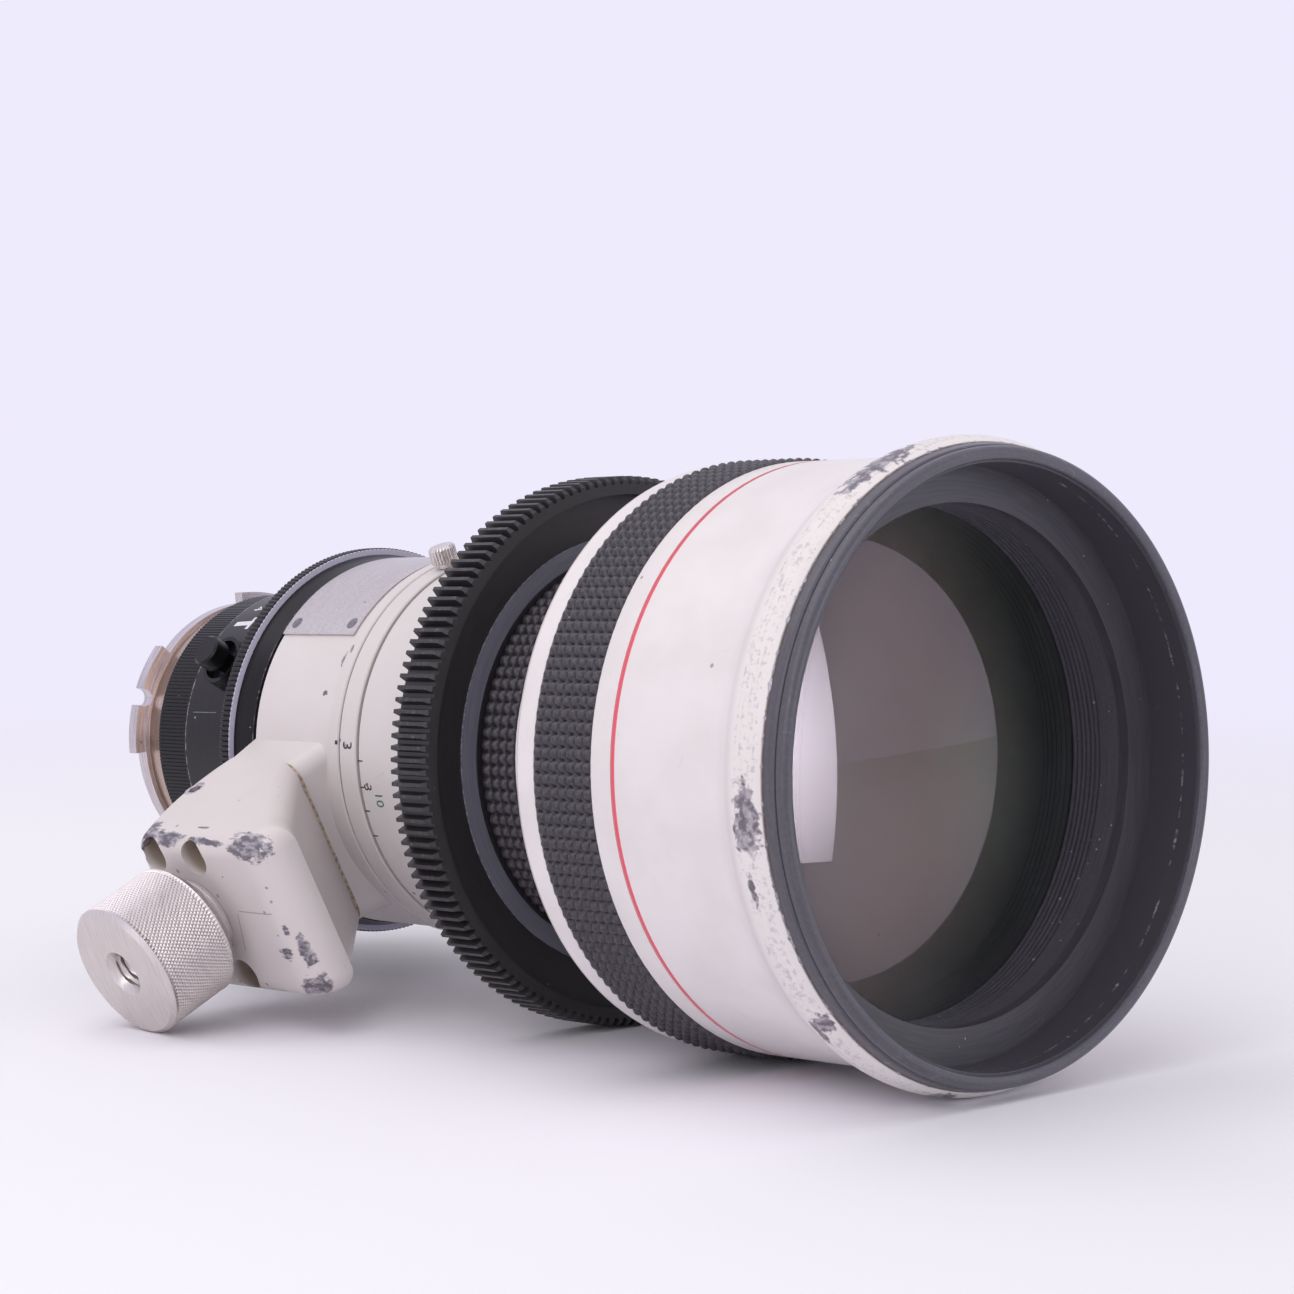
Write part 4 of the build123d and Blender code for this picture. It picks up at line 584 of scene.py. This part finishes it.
# %% Dark finishes
def dark_finish(name, low, high, rough, turned=0.0, edges=(), rims=(), dust=0.0, grain_mm=0.01,
                scuffs=0.0, level=0.5, edge=(150, 146, 154)):
    """Base from the low shade to the high one with the grain; edges by distance and rims by radius."""
    finish = new_finish(name, colour(*low), rough)
    fill(finish.shader, {"Specular IOR Level": level})
    fine = over(finish, fine_grain, Scale=1.3)
    height = leaning(turned, fine["Height"], noise(finish.turned, 3.0, 3.0))
    base = mixed(step(height, 0.35, 0.68), colour(*low), colour(*high))
    if scuffs:
        cloudy = over(finish, ragged_wear_and_highlight, Closeness=scuffs, Grain=0.22, Spread=1.6)["Mask"]
        lines = over(finish, scratches, Scale=0.12, Width=0.008, Share=0.9)["Mask"]
        rubbed = calc("MAXIMUM", times(cloudy, 0.35), times(lines, 0.5))
        base = mixed(rubbed, base, colour(*edge))
    if dust:
        dots = over(finish, specks, Spacing=2.4, Size=0.3, Share=dust)["Mask"]
        base = mixed(times(dots, 0.75), base, colour(176, 168, 176))
    # Paler bands at edges and rims: edge wear on some rings, a painted highlight on others.
    if edges or rims:
        by_radius = finish._replace(distance=finish.radius)
        close = most(nearness(finish, bands=edges) + nearness(by_radius, bands=rims))
        ragged_mask = over(finish, ragged_wear_and_highlight, Closeness=close, Grain=0.9, Spread=1.1)["Mask"]
        base = mixed(ragged_mask, base, colour(*edge))
    rough_here = calc("MULTIPLY_ADD", fine["Cloud"], 0.14, rough - 0.07)
    fill(finish.shader, {"Base Color": base, "Roughness": rough_here})
    bump(finish, height, grain_mm)
    return finish.material


by_slot.update(
    bumper_black=dark_finish(
        "scuffed_bumper", (74, 72, 80), (86, 84, 93), 0.34,
        turned=0.5, scuffs=0.22, dust=0.04, grain_mm=0.006, edge=(128, 126, 134),
    ),
    front_ring_grey=dark_finish(
        "dark_satin_ring", (60, 57, 63), (70, 67, 74), 0.38, turned=0.9, dust=0.15, grain_mm=0.006
    ),
    inner_black=dark_finish("flat_black", (26, 25, 28), (31, 30, 33), 0.7, turned=0.4, grain_mm=0.002),
    grip_rubber=dark_finish("dusty_rubber", (50, 46, 51), (72, 67, 74), 0.38, dust=0.08, grain_mm=0.02),
    # The gear's teeth are painted paler towards their tips, by radius.
    gear_black=dark_finish(
        "gear_black", (38, 35, 38), (43, 40, 43), 0.42,
        turned=0.8, rims=((60.2, 1.4, 0.42),), dust=0.04, edge=(98, 94, 100),
    ),
    # Painted highlight: a paler band along the rear edge of the aperture ring, at 226.4; another paler band
    # lies at 190.2.
    ring_black=dark_finish(
        "black_anodised", (17, 16, 18), (26, 24, 27), 0.3,
        turned=0.85, edges=((226.4, 0.5, 0.6), (190.2, 0.3, 0.5)), dust=0.1, level=0.22,
    ),
    # Painted highlight: a pale band round the outer rim of the grey liner, at radius 47.1.
    liner_grey=dark_finish(
        "grey_liner", (104, 105, 116), (114, 115, 126), 0.4,
        turned=0.9, rims=((47.1, 0.25, 0.9),), edge=(168, 168, 180),
    ),
)
by_node.update(
    front_baffle=dark_finish("dusty_black_bore", (72, 70, 77), (84, 82, 90), 0.5, turned=0.6, dust=0.5),
    clamp_knob=dark_finish("knurled_black", (44, 41, 46), (62, 59, 65), 0.35, dust=0.1),
)
# Painted highlight: the front face of the aperture teeth, at 196.2, is painted pale lavender by the edge
# band.
toothed_finish = dark_finish(
    "black_teeth", (22, 21, 23), (32, 30, 34), 0.34,
    edges=((196.2, 0.25, 1.3),), level=0.3, edge=(204, 200, 220),
)
edge_black = dark_finish("blackened_edge", (22, 21, 23), (28, 27, 29), 0.8, grain_mm=0.002)
print("dark finishes ready")


# %% Metals
def metal_finish(name, shade, deep, rough, brushed=1.0, spots=0.1):
    """Metal whose shade and roughness follow the lathe's lines, or plain grain when brushed is 0."""
    finish = new_finish(name, colour(*shade), rough, 1.0)
    even, lines = noise(finish.place, 1.8, 4.0), noise(finish.turned, 5.0, 3.0)
    height = leaning(brushed, even, lines)
    base = mixed(step(height, 0.35, 0.65), colour(*deep), colour(*shade))
    stain = over(finish, specks, Spacing=3.0, Size=0.45, Share=spots)["Mask"]
    base = mixed(times(stain, 0.6), base, colour(96, 86, 80))
    rough_here = calc("MULTIPLY_ADD", height, 0.2, rough - 0.1)
    fill(finish.shader, {"Base Color": base, "Roughness": rough_here})
    bump(finish, height, 0.006)
    return finish.material


by_slot.update(
    knob_aluminium=metal_finish("satin_aluminium", (222, 215, 211), (204, 197, 193), 0.36),
    plate_silver=metal_finish("brushed_plate", (206, 201, 198), (188, 183, 182), 0.38, 0.4, 0.3),
    bright_steel=metal_finish("bright_steel", (240, 236, 236), (222, 218, 218), 0.34),
    screw_steel=metal_finish("screw_steel", (150, 145, 150), (104, 99, 104), 0.38, 0.3, 0.4),
    mount_steel=metal_finish("mount_steel", (214, 208, 210), (184, 177, 180), 0.3, 0.8, 0.25),
    bronze_cone=metal_finish("aged_bronze", (206, 184, 168), (166, 144, 130), 0.34, 0.9, 0.3),
    blade_steel=metal_finish("blade_steel", (64, 62, 68), (50, 48, 53), 0.45, 0.0),
)
by_node["foot_set_screw"] = metal_finish("pale_screw", (206, 200, 203), (176, 170, 173), 0.6, 0.0)

# %% Tan packing
packing_sheet = new_finish("tan_packing", colour(190, 172, 156), 0.8)
packing_height = over(packing_sheet, fine_grain, Scale=1.1)["Height"]
packing_share = step(packing_height, 0.35, 0.65)
packing_base = mixed(packing_share, colour(150, 130, 114), colour(204, 186, 170))
fill(packing_sheet.shader, {"Base Color": packing_base})
bump(packing_sheet, packing_height, 0.03)
by_slot["packing_tan"] = packing_sheet.material
print("materials so far", len(bpy.data.materials))

# %% [markdown]
# ## Coated glass
# The front glass is a thick, bulging element with a coating a few hundred atoms thick. The coating
# sends back only a little light, and colours it. The first face returns nearly plain light, and the
# faces behind it add teal and brown, so the shade changes across the bowl. The shader does this with
# a tint on each reflection. Dust sits on the front glass only, as small rough specks. The ground edges
# of the two front glasses are painted black, as an optician does, or they would catch light.


# %% Glass
def glass_finish(name, tint, index, rough=0.0, dust=0.0):
    """Clear glass with a tinted reflection; specks of dust are rough spots, the rest is polished."""
    finish = new_finish(name, colour(250, 249, 246), rough)
    glassy = {"Transmission Weight": 1.0, "IOR": index, "Specular Tint": colour(*tint)}
    fill(finish.shader, glassy)
    if dust:
        dots = over(finish, specks, Spacing=5.0, Size=0.4, Share=dust)["Mask"]
        dusty = calc("MULTIPLY_ADD", dots, 0.55, 0.015)
        fill(finish.shader, {"Roughness": dusty})
    return finish.material


front_face = glass_finish("coated_front_face", (246, 228, 238), 1.76, dust=0.3)
front_back_face = glass_finish("coated_back_face", (96, 122, 124), 1.68, 0.3)
second_face = glass_finish("coated_second_face", (236, 132, 70), 1.62, 0.1)
second_back_face = glass_finish("coated_second_back", (240, 140, 80), 1.6, 0.25)
by_slot["optical_glass"] = glass_finish("coated_inner_glass", (132, 176, 158), 1.45, 0.12)
print("glass ready")

# %% [markdown]
# ## Finishes onto the solids
# Most solids take their finish by their material slot. A few have one of their own: the cream pieces
# wear in different places, and the bore behind the lip is dustier than the dark inside.

# %% Each solid's finish
for entry in frame["record"]["subparts"]:
    finish = by_node.get(entry["node"], by_slot[entry["material_slot"]])
    for place in frame["nodes"][entry["node"]].material_slots:
        place.material = finish
print("finishes on", len(frame["nodes"]), "solids")

# %% [markdown]
# ## The two front glasses
# Reflections in glass show every flat of a mesh, so the two glasses that can be seen through the front
# are made again on a fine grid, exactly where the solids are. Each face is a part of a sphere: the
# rounder the bowl, the smaller the sphere. The two faces carry the glass, and the edge its black paint.

# %% Lens elements
element_rows, element_columns = 48, 192


def lens_element(name, rim, front, back, bulge, back_bulge, finishes, replaced):
    """Two faces and the edge: each face's depth = sphere - root(sphere squared - radius squared),
    where sphere = (rim squared + bulge squared) / twice the bulge."""
    radius = rim * np.linspace(0, 1, element_rows)

    def depth(height):
        sphere = (rim**2 + height**2) / (2 * abs(height))
        return math.copysign(1, height) * (sphere - np.sqrt(sphere**2 - radius**2))

    reach = np.concatenate([front - bulge + depth(bulge), (back + back_bulge - depth(back_bulge))[::-1]])
    around = np.linspace(0, 2 * np.pi, element_columns, endpoint=False)
    points = spun(lens, reach[:, None], np.append(radius, radius[::-1])[:, None], around[None, :])
    faces = grid_faces(2 * element_rows, element_columns, join_columns=True)
    piece = add_piece(name, points, faces, "fixed_barrel", "optical_glass", finishes[0], replaced)
    for finish in finishes[1:]:
        piece.data.materials.append(finish)
    cells = (element_rows - 1) * element_columns
    part = np.repeat([0, 1, 2], (cells, element_columns, cells)).astype(np.int32)
    piece.data.polygons.foreach_set("material_index", part)


lens_element(
    "front_element", rim=53.5, front=28.7, back=32.1, bulge=8.4, back_bulge=6.0,
    finishes=(front_face, edge_black, front_back_face), replaced=("front_glass",),
)
lens_element(
    "second_element", rim=50.5, front=51.0, back=54.4, bulge=9.6, back_bulge=-4.0,
    finishes=(second_face, edge_black, second_back_face), replaced=("second_glass",),
)

# %% [markdown]
# ## Rubber grips
# The front grip is a moulded rubber band with seven rows of small pillow-shaped blocks. The focus
# rubber has six rows of studs, a little rounder at the top. Both are one surface: along the lens and
# round it, the height rises from each groove to a rounded top, and the two heights are multiplied. A
# block needs only six points each way.


# %% Blocks on a band
def relief(count, inside, heights):
    """Positions and heights of count equal humps: each hump has the same inner points, from 0 to 1."""
    return (np.arange(count)[:, None] + np.array(inside)).ravel() / count, np.tile(heights, count)


def moulded_band(name, front, back, bore, groove, top, around, rows, inside, heights, body, replaced):
    """Band of blocks: radius = groove + (top - groove) x height along x height round, closed on its bore."""
    along_share, along_height = relief(rows, inside, heights)
    round_place, round_height = relief(around, inside, heights)
    reach = front + (back - front) * np.append(along_share, 1.0)
    lift = np.outer(np.append(along_height, 0.0), round_height)
    angle = round_place * 2 * np.pi
    outer = spun(lens, reach[:, None], groove + (top - groove) * lift, angle[None, :])
    inner = spun(lens, np.array([back, front])[:, None], bore, angle[None, :])
    points = np.concatenate([outer, inner])
    faces = grid_faces(len(points), len(angle), join_rows=True, join_columns=True)
    add_piece(name, points, faces, body, "grip_rubber", replaced=replaced, sharp=50)


moulded_band(
    "grip_blocks", front=54.4, back=71.4, bore=60.92, groove=61.1, top=62.2, around=148, rows=7,
    inside=(0.0, 0.15, 0.31, 0.5, 0.69, 0.85), heights=(0.0, 0.55, 0.9, 1.0, 0.9, 0.55),
    body="fixed_barrel", replaced=("front_grip",),
)
moulded_band(
    "focus_studs", front=95.4, back=110.6, bore=41.02, groove=41.5, top=42.6, around=98, rows=6,
    inside=(0.0, 0.16, 0.33, 0.5, 0.67, 0.84), heights=(0.0, 0.6, 0.92, 1.0, 0.92, 0.6),
    body="focus_ring", replaced=("focus_rubber",),
)

# %% [markdown]
# ## Straight knurls
# Three pieces carry fine straight teeth for the fingers: the ring before the aperture scale, the sleeve
# ring at the rear, and the head of the preset screw. A straight knurl is a profile turned round the
# spindle whose radius swings in and out with the angle. Four points make each tooth: its top, a
# shoulder, the bottom of the gap and the next shoulder. The swing is held at zero off the toothed part
# of the profile. The bumper round the lip is turned in the same way, with no teeth at all.


# %% Toothed rings
def toothed_ring(name, spindle, profile, teeth, depth, body, slot, replaced, finish=None, closed=True):
    """Turned profile of (height, radius, share); radius falls by depth x share in each tooth's gap."""
    height, radius, share = np.array(profile).T
    swing = np.tile([0.0, 0.15, 1.0, 0.15], teeth)
    angle = np.arange(len(swing)) * 2 * np.pi / len(swing)
    cut_radius = radius[:, None] - depth * share[:, None] * swing[None, :]
    points = spun(spindle, height[:, None], cut_radius, angle[None, :])
    faces = grid_faces(len(height), len(angle), join_rows=closed, join_columns=True)
    add_piece(name, points, faces, body, slot, finish, replaced, sharp=30)


toothed_ring(
    "aperture_teeth", lens, (
        (196.2, 36.22, 0), (196.2, 45.1, 0), (196.6, 45.5, 1), (199.4, 45.5, 1), (199.8, 45.1, 0),
        (199.8, 36.22, 0),
    ),
    242, 0.42, "iris_ring", "ring_black", ("toothed_ring",), toothed_finish,
)
toothed_ring(
    "sleeve_knurl", lens, (
        (227.3, 33.02, 0), (227.3, 34.1, 0), (227.8, 34.6, 0), (228.9, 34.6, 0), (229.0, 34.5, 1),
        (239.4, 34.5, 1), (239.9, 34.1, 0), (240.0, 34.0, 0), (240.0, 33.02, 0),
    ),
    241, 0.22, "fixed_barrel", "ring_black", ("sleeve_ring",),
)

# %% The worn lip, rounded inside and out, with a fine groove between its two bands
inner_round, outer_round, flat_from, flat_to = 1.0, 1.3, 61.0, 61.5
quarter = np.linspace(0, np.pi / 2, 7)
lip_inside = np.stack([inner_round - np.sin(quarter), flat_from - np.cos(quarter), 0 * quarter], axis=1)
lip_outside = np.stack([
    outer_round - outer_round * np.cos(quarter), flat_to + outer_round * np.sin(quarter), 0 * quarter
], axis=1)
bands_behind = np.array((
    (2.15, 62.8, 0), (2.3, 62.5, 0), (2.45, 62.95, 0), (2.75, 63.2, 0), (4.5, 63.5, 0), (4.8, 63.45, 0),
    (4.8, 60.0, 0),
))
toothed_ring(
    "rounded_bumper", lens, np.concatenate([lip_inside, lip_outside, bands_behind]),
    90, 0.0, "fixed_barrel", "bumper_black", ("front_bumper",),
)

# %% The preset screw's head
toothed_ring(
    "preset_screw_head", radial_spindle(153.9, 97.0), (
        (38.87, 0, 0), (38.87, 1.3, 0), (43.45, 1.3, 0), (43.45, 1.9, 0), (44.6, 1.9, 0), (44.6, 2.9, 0),
        (44.8, 3.1, 1), (47.8, 3.1, 1), (48.4, 2.6, 0), (48.4, 0, 0),
    ),
    24, 0.3, "preset_screw", "knob_aluminium", ("preset_screw",), closed=False,
)

# %% [markdown]
# ## The knob under the foot
# The knob is turned aluminium with a diamond knurl, so a bare hand can tighten it. Two sets of crossing
# grooves leave a chessboard of small pyramids: peaks and pits take turns along the knob and round it,
# and each cell is cut along the line between its two pits, which is the floor of a groove. Its socket
# takes a tripod screw, so the wall of the bore is cut with a thread: the radius follows a V that climbs
# one pitch in each turn.

# %% Diamond knurl and threaded socket
knurl_count, knurl_rows, knurl_depth, knurl_from = 106, 26, 0.28, 83.0
thread_pitch, thread_depth, thread_from, thread_to, rows_in_pitch = 1.5875, 0.72, 89.6, 99.0, 6
socket_radius, socket_floor = 4.0, 88.8
knob_angle = np.arange(2 * knurl_count) * np.pi / knurl_count


def knob_rows(profile):
    """Plain turned rows from (radius, height) pairs: the same radius all the way round."""
    radius, height = np.array(profile).T
    return np.broadcast_arrays(height[:, None], radius[:, None], knob_angle[None, :])


def knurl_rows_of(low, high, radius):
    """Chessboard of peaks and pits: radius falls by the depth where row + column is odd."""
    height = np.linspace(high, low, knurl_rows + 1)[1:-1]
    odd = (np.arange(1, knurl_rows)[:, None] + np.arange(2 * knurl_count)[None, :]) % 2
    return np.broadcast_arrays(height[:, None], radius - knurl_depth * odd, knob_angle[None, :])


def thread_rows(low, high, bore):
    """V thread: radius = bore + depth x (1 - 2 x distance from the crest), climbing a pitch a turn."""
    height = np.arange(low, high, thread_pitch / rows_in_pitch)
    turn = height[:, None] / thread_pitch - knob_angle[None, :] / (2 * np.pi)
    off_crest = np.abs(turn - np.round(turn))
    radius = bore + thread_depth * (1 - 2 * off_crest)
    return np.broadcast_arrays(height[:, None], radius, knob_angle[None, :])


# %% The knob, from its socket over its face and down its knurl
knob_parts = (
    knob_rows([(0, socket_floor), (socket_radius, socket_floor)]),
    thread_rows(thread_from, thread_to, socket_radius),
    knob_rows([(socket_radius, 99.2), (4.3, 99.7), (5.35, knob_height), (14.2, knob_height),
               (knob_radius - knob_edge, knob_height), (knob_radius, rim_height)]),
    knurl_rows_of(knurl_from, rim_height, knob_radius),
    knob_rows([(knob_radius, knurl_from), (13.7, 81.2), (9.5, 81.2), (9.5, 79.77), (4.78, 79.77),
               (4.78, 86.8), (0, 86.8)]),
)
height_grid, radius_grid, angle_grid = (np.concatenate(kind) for kind in zip(*knob_parts))
knob_points = spun(knob_spindle, height_grid, radius_grid, angle_grid)
knob_cells = grid_faces(*height_grid.shape, join_columns=True)
row_before_knurl = sum(len(part[0]) for part in knob_parts[:3]) - 1
row_of, column_of = knob_cells[:, 0] // len(knob_angle), knob_cells[:, 0] % len(knob_angle)
even = ((row_of - row_before_knurl + column_of) % 2 == 0)[:, None]
first_halves = np.where(even, knob_cells[:, [0, 1, 3]], knob_cells[:, [0, 1, 2]])
second_halves = np.where(even, knob_cells[:, [1, 2, 3]], knob_cells[:, [0, 2, 3]])
add_piece(
    "knurled_knob", knob_points, np.concatenate([first_halves, second_halves]),
    "tripod_adapter", "knob_aluminium", replaced=("adapter_knob",), sharp=28,
)

# %% [markdown]
# ## Painted marks
# The scales are paint or filled engraving, a few hundredths of a millimetre proud of the metal. Only
# plain numbers and index marks are drawn. Each starts flat as a thin solid. Wrapping it is one formula:
# sideways becomes an angle, upwards becomes a step towards the lip, and thickness adds to the radius.

# %% Paint that follows a ring
half_paint = 0.02


def paint_finish(name, *shade):
    """Slightly chipped paint of one shade."""
    finish = new_finish(name, colour(*shade), 0.5)
    cloud = over(finish, fine_grain, Scale=2.0)["Height"]
    dull = (*(0.72 * part for part in colour(*shade)[:3]), 1.0)
    base = mixed(step(cloud, 0.55, 0.7, 0.0, 0.8), colour(*shade), dull)
    fill(finish.shader, {"Base Color": base})
    return finish.material


black_paint = paint_finish("black_paint", 44, 41, 46)
white_paint = paint_finish("white_paint", 226, 222, 228)
green_paint = paint_finish("green_paint", 52, 116, 84)


def flat_text(words, size):
    """Vertices and faces of a thin solid text, in millimetres, centred on its own middle."""
    curve = bpy.data.curves.new(words, "FONT")
    curve.body, curve.size, curve.extrude, curve.resolution_u = words, size, half_paint, 3
    curve.align_x, curve.align_y = "CENTER", "CENTER"
    text = bpy.data.objects.new(words, curve)
    mesh = bpy.data.meshes.new_from_object(text)
    work = bmesh.new()
    work.from_mesh(mesh)
    bmesh.ops.remove_doubles(work, verts=work.verts, dist=1e-4)
    bmesh.ops.triangulate(work, faces=work.faces)
    points = np.array([vertex.co[:] for vertex in work.verts])
    faces = np.array([[vertex.index for vertex in face.verts] for face in work.faces])
    work.free()
    bpy.data.objects.remove(text)
    return points, faces


def flat_bar(width, height, pieces=6):
    """Thin box made of a closed strip: pieces + 1 rows across its width, four corners each."""
    x = np.repeat(np.linspace(-width / 2, width / 2, pieces + 1), 4)
    y = np.tile([-1, 1, 1, -1], pieces + 1) * height / 2
    z = np.tile([-1, -1, 1, 1], pieces + 1) * half_paint
    sides = grid_faces(pieces + 1, 4, join_columns=True)
    caps = np.array([[3, 2, 1, 0], 4 * pieces + np.arange(4)])
    return np.stack([x, y, z], axis=1), np.concatenate([sides, caps])


def mark(name, shape, distance, angle, radius_at, body, slot, paint=None):
    """Wraps a flat shape round the lens: a point goes to distance - y along the axis,
    angle - x / radius round it, and radius + z from it, with its underside on the ring."""
    points, faces = shape
    reach = distance - points[:, 1]
    radius = radius_at(reach)
    turn = math.radians(angle) - points[:, 0] / radius
    wrapped = spun(lens, reach, radius + (points[:, 2] + half_paint), turn)
    add_piece(name, wrapped, faces, body, slot, paint, sharp=60)


# %% Rings that carry marks
sleeve_radius, preset_radius, index_radius = 43.0, 43.4, 43.5
aperture_front, aperture_back, aperture_front_radius, aperture_narrowing = 199.8, 226.6, 37.5, 1.6


def steady(radius):
    """Radius of a plain cylinder, the same at every distance."""
    return lambda reach: np.full_like(reach, radius)


def aperture_cone(reach):
    """The aperture ring narrows evenly from its front to its back."""
    share = (reach - aperture_front) / (aperture_back - aperture_front)
    return aperture_front_radius - aperture_narrowing * share


# %% Numbers and index marks
sleeve_marks = [
    ("preset_number", flat_text("3", 4.4), 154.7, 29.3, preset_radius, "preset_ring", black_paint),
    ("index_dot", flat_bar(0.9, 0.9), 158.4, 30.1, index_radius, "fixed_barrel", black_paint),
    ("focus_number", flat_text("3", 3.6), 148.8, 17.2, sleeve_radius, "focus_ring", black_paint),
    ("focus_number_near", flat_text("10", 3.6), 145.5, 13.7, sleeve_radius, "focus_ring", green_paint),
]
for number, angle in enumerate((10.0, 17.2, 25.0, 2.0)):
    tick = (f"focus_tick_{number}", flat_bar(0.3, 1.6), 150.5, angle)
    sleeve_marks.append((*tick, sleeve_radius, "focus_ring", black_paint))
for name, shape, distance, angle, radius, body, paint in sleeve_marks:
    mark(name, shape, distance, angle, steady(radius), body, "ring_black", paint)

aperture_marks = [
    ("aperture_index_bar", flat_bar(4.2, 1.3), 216.8, 77.4),
    ("aperture_index_stem", flat_bar(1.5, 6.0), 220.4, 77.4),
]
for number, words in enumerate(("4", "5", "8", "11", "16")):
    aperture_marks.append((f"aperture_number_{number}", flat_text(words, 4.6), 220.6, 87.0 + 10.0 * number))
for name, shape, distance, angle in aperture_marks:
    mark(name, shape, distance, angle, aperture_cone, "iris_ring", "plate_silver", white_paint)
mark("aperture_scribe", flat_bar(0.18, 10.0), 218.9, 38.7, aperture_cone, "iris_ring", "liner_grey")

# %% [markdown]
# ## Floor, light and camera
# The photograph was taken on a white sweep under broad, soft light: the top and the near side of the
# barrel are almost equally bright, its underside falls to grey, and faint shadows gather under the lens.
# A pale world fills from everywhere, and two large soft lamps, above and at the left, give the shape. A
# tall, weak lamp in front is there to be seen: it is the pale band in the glass. The floor is a real
# surface near the lens and becomes the backdrop's colour further out, for the camera only.

# %% Floor
backdrop_colour = (0.86, 0.83, 0.985, 1.0)
floor_half, fade_from, fade_to = 4, 0.3, 0.9
floor_mesh = bpy.data.meshes.new("floor")
floor_corners = [(x * floor_half, y * floor_half, 0) for x, y in ((-1, -1), (1, -1), (1, 1), (-1, 1))]
floor_mesh.from_pydata(floor_corners, [], [(0, 1, 2, 3)])
link("floor", floor_mesh)
floor_material = bpy.data.materials.new("white_sweep")
floor_material.use_nodes = True
floor_tree = floor_material.node_tree
floor_shader = floor_tree.nodes["Principled BSDF"]
floor_look = {"Base Color": (0.93, 0.915, 0.98, 1.0), "Roughness": 0.9, "Specular IOR Level": 0.1}
fill(floor_shader, floor_look)
floor_point = put(floor_tree, "TexCoord").outputs["Object"]
floor_reach = put(floor_tree, "VectorMath", {0: floor_point}, operation="LENGTH").outputs["Value"]
glow = put(floor_tree, "Emission", {"Color": backdrop_colour, "Strength": 1.0}).outputs[0]
seen = put(floor_tree, "LightPath").outputs["Is Camera Ray"]
far = times(step(floor_reach, fade_from, fade_to), seen)
blend_shader = put(floor_tree, "MixShader", {0: far, 1: floor_shader.outputs[0], 2: glow})
fill(floor_tree.nodes["Material Output"], {"Surface": blend_shader.outputs[0]})
floor_mesh.materials.append(floor_material)
print("floor ready")

# %% World and lamps
world = bpy.data.worlds.new("studio")
bpy.context.scene.world = world
world.use_nodes = True
world_tree = world.node_tree
rays = put(world_tree, "LightPath").outputs
through = calc("MAXIMUM", rays["Is Glossy Ray"], rays["Is Transmission Ray"])
visible = calc("MAXIMUM", rays["Is Camera Ray"], through)
world_strength = calc("MULTIPLY_ADD", visible, 0.32, 0.68)
world_shade = mixed(visible, (0.97, 0.95, 0.98, 1.0), backdrop_colour)
fill(world_tree.nodes["Background"], {"Color": world_shade, "Strength": world_strength})


def lamp(name, place, size, watts, shade, target=(0, 0, 0.05), spread=math.pi):
    """Soft rectangular lamp that faces a target, in metres; the spread is the angle of its light."""
    light = bpy.data.lights.new(name, "AREA")
    light.shape, light.size, light.size_y = "RECTANGLE", *size
    light.energy, light.color, light.spread = watts, shade, spread
    facing = (Vector(target) - Vector(place)).to_track_quat("-Z", "Y").to_matrix().to_4x4()
    link(name, light).matrix_world = Matrix.Translation(place) @ facing


lamp("overhead_softbox", (-0.4, 0.2, 1.3), (1.5, 1.5), 7.2, (1.0, 0.98, 0.99))
lamp("left_softbox", (-1.25, -0.55, 0.7), (0.9, 0.9), 4.0, (1.0, 0.97, 0.99))
lamp(
    "window_strip", (0.065, -0.286, 0.077), (0.045, 0.15), 0.016, (0.90, 0.93, 1.0),
    target=(0.016, -0.105, 0.066), spread=0.85,
)
print("lamps", len(bpy.data.lights))

# %% [markdown]
# The camera was found by fitting circles of the lens to the photograph, so its place is known in the
# lens's own measures. It is turned into the scene's frame with the same three directions as the rest.

# %% Camera
fitted_place = (-437.58272, 428.96555, 262.91442)
fitted_look, fitted_right = (0.73356, -0.5949, -0.32866), (-0.67958, -0.64744, -0.34494)
focal_mm, sensor_mm = 94.59, 36.0


def in_scene(measure):
    """Direction in the scene: along the axis, towards the foot and sideways, each by its share."""
    return measure[0] * axis_dir + measure[1] * foot_dir + measure[2] * side_dir


camera_place = (lip_centre + in_scene(fitted_place)) * MM
camera_look, camera_right = in_scene(fitted_look), in_scene(fitted_right)
camera_up = np.cross(camera_right, camera_look)
camera_data = bpy.data.cameras.new("camera")
camera_data.lens, camera_data.sensor_width, camera_data.clip_start = focal_mm, sensor_mm, 0.01
camera = link("camera", camera_data)
turned = Matrix([camera_right.tolist(), camera_up.tolist(), (-camera_look).tolist()]).transposed()
camera.matrix_world = Matrix.Translation(camera_place.tolist()) @ turned.to_4x4()
bpy.context.scene.camera = camera
bpy.context.scene.view_settings.view_transform = "Standard"
print("camera at", camera_place.round(4))
